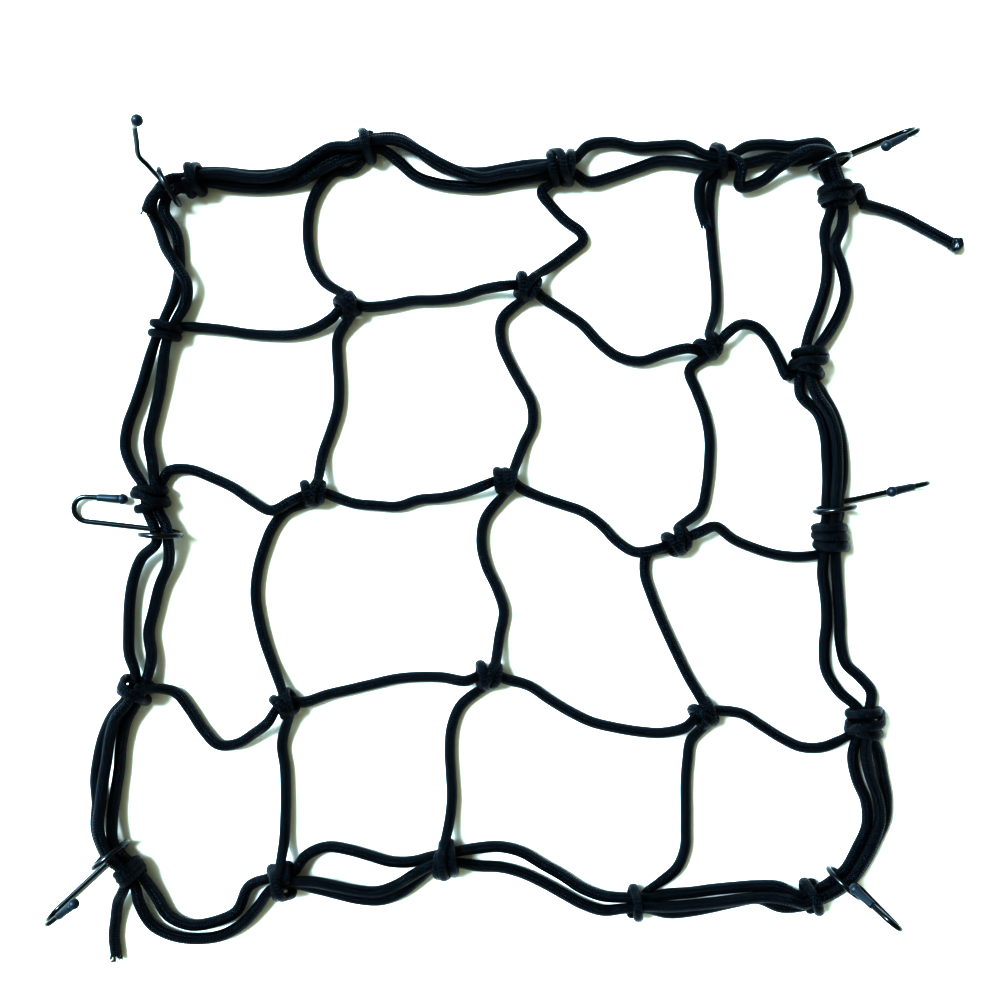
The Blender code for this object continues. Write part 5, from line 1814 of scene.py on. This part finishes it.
# ---- hooks
@dataclass
class WireHook:
    """A bent wire hook with a round eye and a tip cap. Sizes are in millimetres and equal the CAD's."""

    name: str
    wire_r: float = 1.1
    tip_r: float = 0.65
    eye_r: float = 7.9
    shank: float = 34.0
    bend_r: float = 5.2
    back: float = 5.6
    tip: float = 9.0
    eye_height: float = 8.86
    eye_drift: float = 1.45
    eye_turn_end: float = -405.0
    cap_ball_r: float = 2.2
    cap_ball_middle: float = 9.6
    cap_sides: int = 28
    cap_profile: tuple[tuple[float, float], ...] = (        # radius, distance past the wire's step
        (0.75, 9.3), (0.75, 0.5), (1.14, 0.1), (1.16, -0.7), (1.28, -0.85), (1.42, -0.75), (1.52, -0.45),
        (1.55, 0.6), (1.62, 3.0), (1.74, 6.4), (1.80, 7.9), (1.76, 8.1), (1.58, 8.25), (1.56, 8.5))
    ball_arc: tuple[float, float, int] = (-24.0, 86.0, 12)      # degrees, degrees, rings
    sides: int = 16
    ring_step: float = 0.7
    step_length: float = 0.4
    end_depth: float = 0.5
    end_shares: tuple[float, ...] = (0.9, 0.6)

    def axes(self) -> tuple[Array, Array, Array, Array]:
        """Eye centre and the unit vectors outward along the shank, along the eye's axis and upward.

        Returns:
            The centre and the three vectors.
        """
        pose = HOOKS[self.name]
        station = STATIONS[pose.station]
        outward, _ = heading_vectors(pose.azimuth)
        tilt = math.radians(pose.elevation)
        shank = math.cos(tilt) * outward + math.sin(tilt) * UP
        rise = math.cos(tilt) * UP - math.sin(tilt) * outward
        return np.array((station.x, station.y, self.eye_height)), shank, np.cross(outward, UP), rise

    def path(self, eye_steps: int = 18, bend_step: float = 20.0) -> tuple[Array, Array]:
        """Middle line of the wire from the eye's loose end to the shoulder, and its last direction.

        The eye is a circle in the plane of shank and rise that drifts along its axis, the bend is an arc of
        radius bend_r in the plane that the roll gives, and both are joined by straight wire.

        Args:
            eye_steps: Straight pieces round the eye.
            bend_step: Degrees of the bend in one piece.

        Returns:
            Points of the line and the unit vector at its end.
        """
        pose = HOOKS[self.name]
        centre, shank, axis, rise = self.axes()
        turns = np.linspace(math.radians(self.eye_turn_end), math.radians(-90.0), eye_steps + 1)
        drift = np.linspace(1.0, -1.0, eye_steps + 1) * self.eye_drift * pose.side
        eye = (centre + self.eye_r * (np.cos(turns)[:, None] * shank + np.sin(turns)[:, None] * rise)
               + drift[:, None] * axis)
        set_angle = math.radians(pose.sideways)
        run = math.cos(set_angle) * shank - math.sin(set_angle) * axis
        across = math.cos(set_angle) * axis + math.sin(set_angle) * shank
        base = eye[-1]
        elbow = base + shank * self.shank * 0.5
        bend_start = elbow + run * self.shank * 0.5
        roll = math.radians(pose.roll)
        inward = math.cos(roll) * rise + math.sin(roll) * across
        pivot = bend_start + inward * self.bend_r
        steps = max(3, round(pose.bend / bend_step))
        angles = np.radians(np.linspace(0.0, pose.bend, steps + 1))[:, None]
        bend = pivot + self.bend_r * (np.sin(angles) * run - np.cos(angles) * inward)
        last = math.radians(pose.bend)
        direction = math.cos(last) * run + math.sin(last) * inward
        straight = np.array((base + shank * self.shank * 0.25, elbow, elbow + run * self.shank * 0.25))
        return np.vstack((eye, straight, bend, bend[-1:] + direction * self.back)), direction

    def build(self, finishes: Finishes) -> None:
        """Make the wire and the cap.

        Args:
            finishes: All materials.
        """
        path, direction = self.path(eye_steps=60, bend_step=6.0)
        shoulder = path[-1]
        curve = spaced(catmull_rom(path, path, 6), self.ring_step)
        tip = shoulder + np.array((self.step_length, self.tip))[:, None] * direction
        points = np.vstack((curve, tip))
        radii = np.concatenate((np.full(len(curve), self.wire_r), np.full(2, self.tip_r)))
        rings = tube_rings(upright_rows(points, radii[:, None]), self.sides)
        rings = rounded_ends(rings, self.end_depth, self.end_shares)
        wire = grid_mesh(f"enamelled_wire_{self.name}", rings)
        dress(wire, finishes.wire, f"hook_{self.name}", Slot.WIRE, f"hook_wire_{self.name}")
        self.cap(finishes, shoulder, direction)

    def cap(self, finishes: Finishes, shoulder: Array, direction: Array) -> None:
        """Turned tip cap: its bore from the bottom to the mouth, then its outside to the round end.

        The sleeve widens evenly from mouth to groove, and the end is a ball: radius^2 + (s - s0)^2 = R^2.

        Args:
            finishes: All materials.
            shoulder: Where the wire steps down.
            direction: Way that the tip points.
        """
        _, _, _, rise = self.axes()
        up = unit(rise - (rise @ direction) * direction)
        across = np.cross(up, direction)
        ball = self.cap_ball_r
        arc = np.radians(np.linspace(*self.ball_arc))
        end = np.column_stack((ball * np.cos(arc), self.cap_ball_middle + ball * np.sin(arc)))
        table = np.vstack((self.cap_profile, end))
        phi = 2 * math.pi * np.arange(self.cap_sides) / self.cap_sides
        spokes = np.cos(phi)[:, None] * across + np.sin(phi)[:, None] * up
        rings = (shoulder + table[:, 1, None, None] * direction + table[:, 0, None, None] * spokes[None])
        cap = grid_mesh(f"turned_cap_{self.name}", rings)
        dress(cap, finishes.cap, f"hook_{self.name}", Slot.CAP, f"hook_cap_{self.name}")


# ---- studio
@dataclass(frozen=True)
class Studio:
    """Floor, light and camera. Sizes are in metres."""

    camera_place: tuple[float, float, float] = (-0.00207, -0.00787, 0.455)
    lens: float = 39.25
    floor_half: float = 3.0
    floor_depth: float = 0.0002
    floor_dark: Colour = (0.90, 0.90, 0.89)
    floor_pale: Colour = (0.93, 0.93, 0.92)
    floor_patch_scale: float = 9.0
    floor_roughness: float = 0.9
    floor_specular: float = 0.1
    sky: Colour = (0.96, 1.0, 0.76)
    sky_strength: float = 0.70
    glow: Colour = (0.62, 0.85, 1.0)
    glow_strength: float = 13.0
    glow_elevation: float = 38.0
    glow_power: float = 12.0
    key_colour: Colour = (0.78, 0.93, 1.0)
    key_strength: float = 8.5
    key_azimuth: float = 155.0
    key_elevation: float = 53.0
    key_width: float = 22.0
    gamma: float = 0.50

    def camera(self) -> None:
        """Camera straight above the net, with its top towards +Y."""
        data = bpy.data.cameras.new("camera")
        data.lens = self.lens
        data.sensor_width = 36.0
        data.clip_start = 0.01
        camera = bpy.data.objects.new("camera", data)
        camera.location = self.camera_place
        bpy.context.scene.collection.objects.link(camera)
        bpy.context.scene.camera = camera

    def light(self) -> None:
        """Even pale sky with a broad glow low on the left, and one soft key light from there.

        The glow's strength is the dot product of the sky's direction and the glow's, to a power.
        """
        world = bpy.data.worlds.new("studio")
        world.use_nodes = True
        builder = NodeBuilder(world.node_tree)
        background = world.node_tree.nodes["Background"]
        toward, _ = heading_vectors(self.key_azimuth)
        tilt = math.radians(self.glow_elevation)
        place = builder.add("ShaderNodeTexCoord")
        facing = builder.add("ShaderNodeVectorMath", operation="DOT_PRODUCT")
        builder.feed(facing.inputs[0], place.outputs["Generated"])
        facing.inputs[1].default_value = math.cos(tilt) * toward + math.sin(tilt) * UP
        ahead = builder.math("MAXIMUM", facing.outputs["Value"], 0.0)
        share = builder.math("MULTIPLY", builder.math("POWER", ahead, self.glow_power), self.glow_strength)
        glow = builder.add("ShaderNodeVectorMath", operation="SCALE")
        glow.inputs[0].default_value = self.glow
        builder.feed(glow.inputs["Scale"], share)
        total = builder.add("ShaderNodeVectorMath", operation="ADD")
        total.inputs[0].default_value = [channel * self.sky_strength for channel in self.sky]
        builder.feed(total.inputs[1], glow.outputs["Vector"])
        builder.feed(background.inputs["Color"], total.outputs["Vector"])
        bpy.context.scene.world = world
        data = bpy.data.lights.new("key", "SUN")
        data.energy = self.key_strength
        data.color = self.key_colour
        data.angle = math.radians(self.key_width)
        key = bpy.data.objects.new("key", data)
        key.rotation_euler = (math.radians(90.0 - self.key_elevation), 0.0,
                              math.radians(self.key_azimuth + 90.0))
        bpy.context.scene.collection.objects.link(key)
        view = bpy.context.scene.view_settings
        view.view_transform = "Standard"
        view.gamma = self.gamma

    def floor(self) -> None:
        """Plain pale floor with a faint unevenness."""
        mesh = bpy.data.meshes.new("floor")
        half, depth = self.floor_half, self.floor_depth
        corners = [(-half, -half, -depth), (half, -half, -depth), (half, half, -depth), (-half, half, -depth)]
        mesh.from_pydata(corners, [], [(0, 1, 2, 3)])
        floor = bpy.data.objects.new("floor", mesh)
        bpy.context.scene.collection.objects.link(floor)
        material = bpy.data.materials.new("pale_floor")
        material.use_nodes = True
        builder = NodeBuilder(material.node_tree)
        shader = material.node_tree.nodes["Principled BSDF"]
        place = builder.add("ShaderNodeTexCoord")
        patches = builder.noise(place.outputs["Object"], self.floor_patch_scale)
        builder.feed(shader.inputs["Base Color"],
                     builder.mix(patches, (*self.floor_dark, 1.0), (*self.floor_pale, 1.0)))
        shader.inputs["Roughness"].default_value = self.floor_roughness
        shader.inputs["Specular IOR Level"].default_value = self.floor_specular
        mesh.materials.append(material)

    def build(self) -> None:
        """Camera, light and floor."""
        self.camera()
        self.light()
        self.floor()


# ---- how each knot is tied
EDGE_KNOTS = {
    "T1": KnotTurn(KnotStyle.RING, -2.6, turned=-10), "T2": KnotTurn(KnotStyle.BIG, -5.0, stretch=1.1),
    "T3": KnotTurn(KnotStyle.RING, -2.0, turned=4),
    "R1": KnotTurn(KnotStyle.BIG, 5.0, stretch=1.1),
    "R2": KnotTurn(KnotStyle.COIL, 6.5, turned=8, mirrored=True, stretch=1.4),
    "R3": KnotTurn(KnotStyle.BIG, 6.5, scale=1.03, stretch=1.2),
    "B3": KnotTurn(KnotStyle.RING, -6.0, turned=-3),
    "B2": KnotTurn(KnotStyle.CROSS, -1.0, mirrored=True, scale=1.05, stretch=1.35),
    "B1": KnotTurn(KnotStyle.HITCH, -1.0, scale=1.02, stretch=1.4),
    "L3": KnotTurn(KnotStyle.HITCH, 4.0, mirrored=True, stretch=1.2),
    "L2": KnotTurn(KnotStyle.BIG, 5.0, mirrored=True, scale=0.96, stretch=1.05),
    "L1": KnotTurn(KnotStyle.DOUBLE, 3.0, turned=14, scale=0.9, stretch=1.1),
    "TL": KnotTurn(KnotStyle.HITCH, scale=0.95, turned=-6), "TR": KnotTurn(KnotStyle.DOUBLE),
    "BR": KnotTurn(KnotStyle.RING, turned=-6, scale=1.06),
    "BL": KnotTurn(KnotStyle.COIL, turned=-10, scale=0.86, stretch=0.9),
}
CENTRE_KNOTS = {
    "K11": KnotTurn(KnotStyle.FOUR_LOBES, turned=12), "K12": KnotTurn(KnotStyle.SLANT, scale=1.05),
    "K13": KnotTurn(KnotStyle.SLANT, turned=8), "K21": KnotTurn(KnotStyle.SLANT, turned=-4, scale=1.04),
    "K22": KnotTurn(KnotStyle.BANDS, scale=1.05), "K23": KnotTurn(KnotStyle.SLANT, turned=4, scale=1.06),
    "K31": KnotTurn(KnotStyle.FOUR_LOBES, turned=4, scale=1.04),
    "K32": KnotTurn(KnotStyle.SLANT, turned=-6, scale=1.08),
    "K33": KnotTurn(KnotStyle.FOUR_LOBES, turned=10, scale=1.08),
}
ROOTS = {
    "stub_third_column": ((87.0, 130.0, 4.0), (84.0, 127.0, 4.8), (81.5, 124.5, 5.6)),
    "tail_bottom_left": ((-155.8, -166.0, 7.0), (-157.6, -169.6, 6.2)),
    "tail_loop_top_right": ((135.5, 113.5, 8.0), (139.5, 115.0, 10.0), (142.0, 119.0, 10.0),
                            (145.2, 119.8, 7.5), (146.8, 117.2, 5.5), (147.8, 114.9, 4.9)),
}
CORNERS = {"TL": "top_left", "TR": "top_right", "BL": "bottom_left", "BR": "bottom_right"}


def end_of(table: Array) -> tuple[Array, Array]:
    """Last point of a route and the direction in which it ends."""
    return table[-1, :3], unit(table[-1, :3] - table[-2, :3])


def main() -> None:
    """Build the studio, the free cords, the rest of the net and the hooks."""
    logging.basicConfig(level=logging.INFO, format="%(message)s")
    Studio().build()
    finishes = Finishes()
    layout = NetLayout()
    hooks = [WireHook(name) for name in HOOKS]
    tables = layout.lay_out({hook.name: hook.path() for hook in hooks})
    cords = NetCords(layout, tables, finishes)
    ends = CordEnds(finishes)
    place, direction = end_of(tables["tail_top_right"])
    cords.tail("tail_top_right",
               [ends.melted("melted_end_top_right", place, direction)])
    place, direction = end_of(tables["tail_bottom_left"])
    cords.tail("tail_bottom_left",
               ends.frayed("bottom_left", place, direction, yarns=30, cores=16))
    cords.border()
    cords.rows()
    cords.columns()
    cords.corners()
    cords.stubs()
    ends.frayed("third_column", *end_of(tables["stub_third_column"]), yarns=30, cores=0)
    ends.frayed("top_left", *end_of(tables["stub_top_left"]), yarns=16, cores=5)
    for hook in hooks:
        hook.build(finishes)


if __name__ == "__main__":
    main()
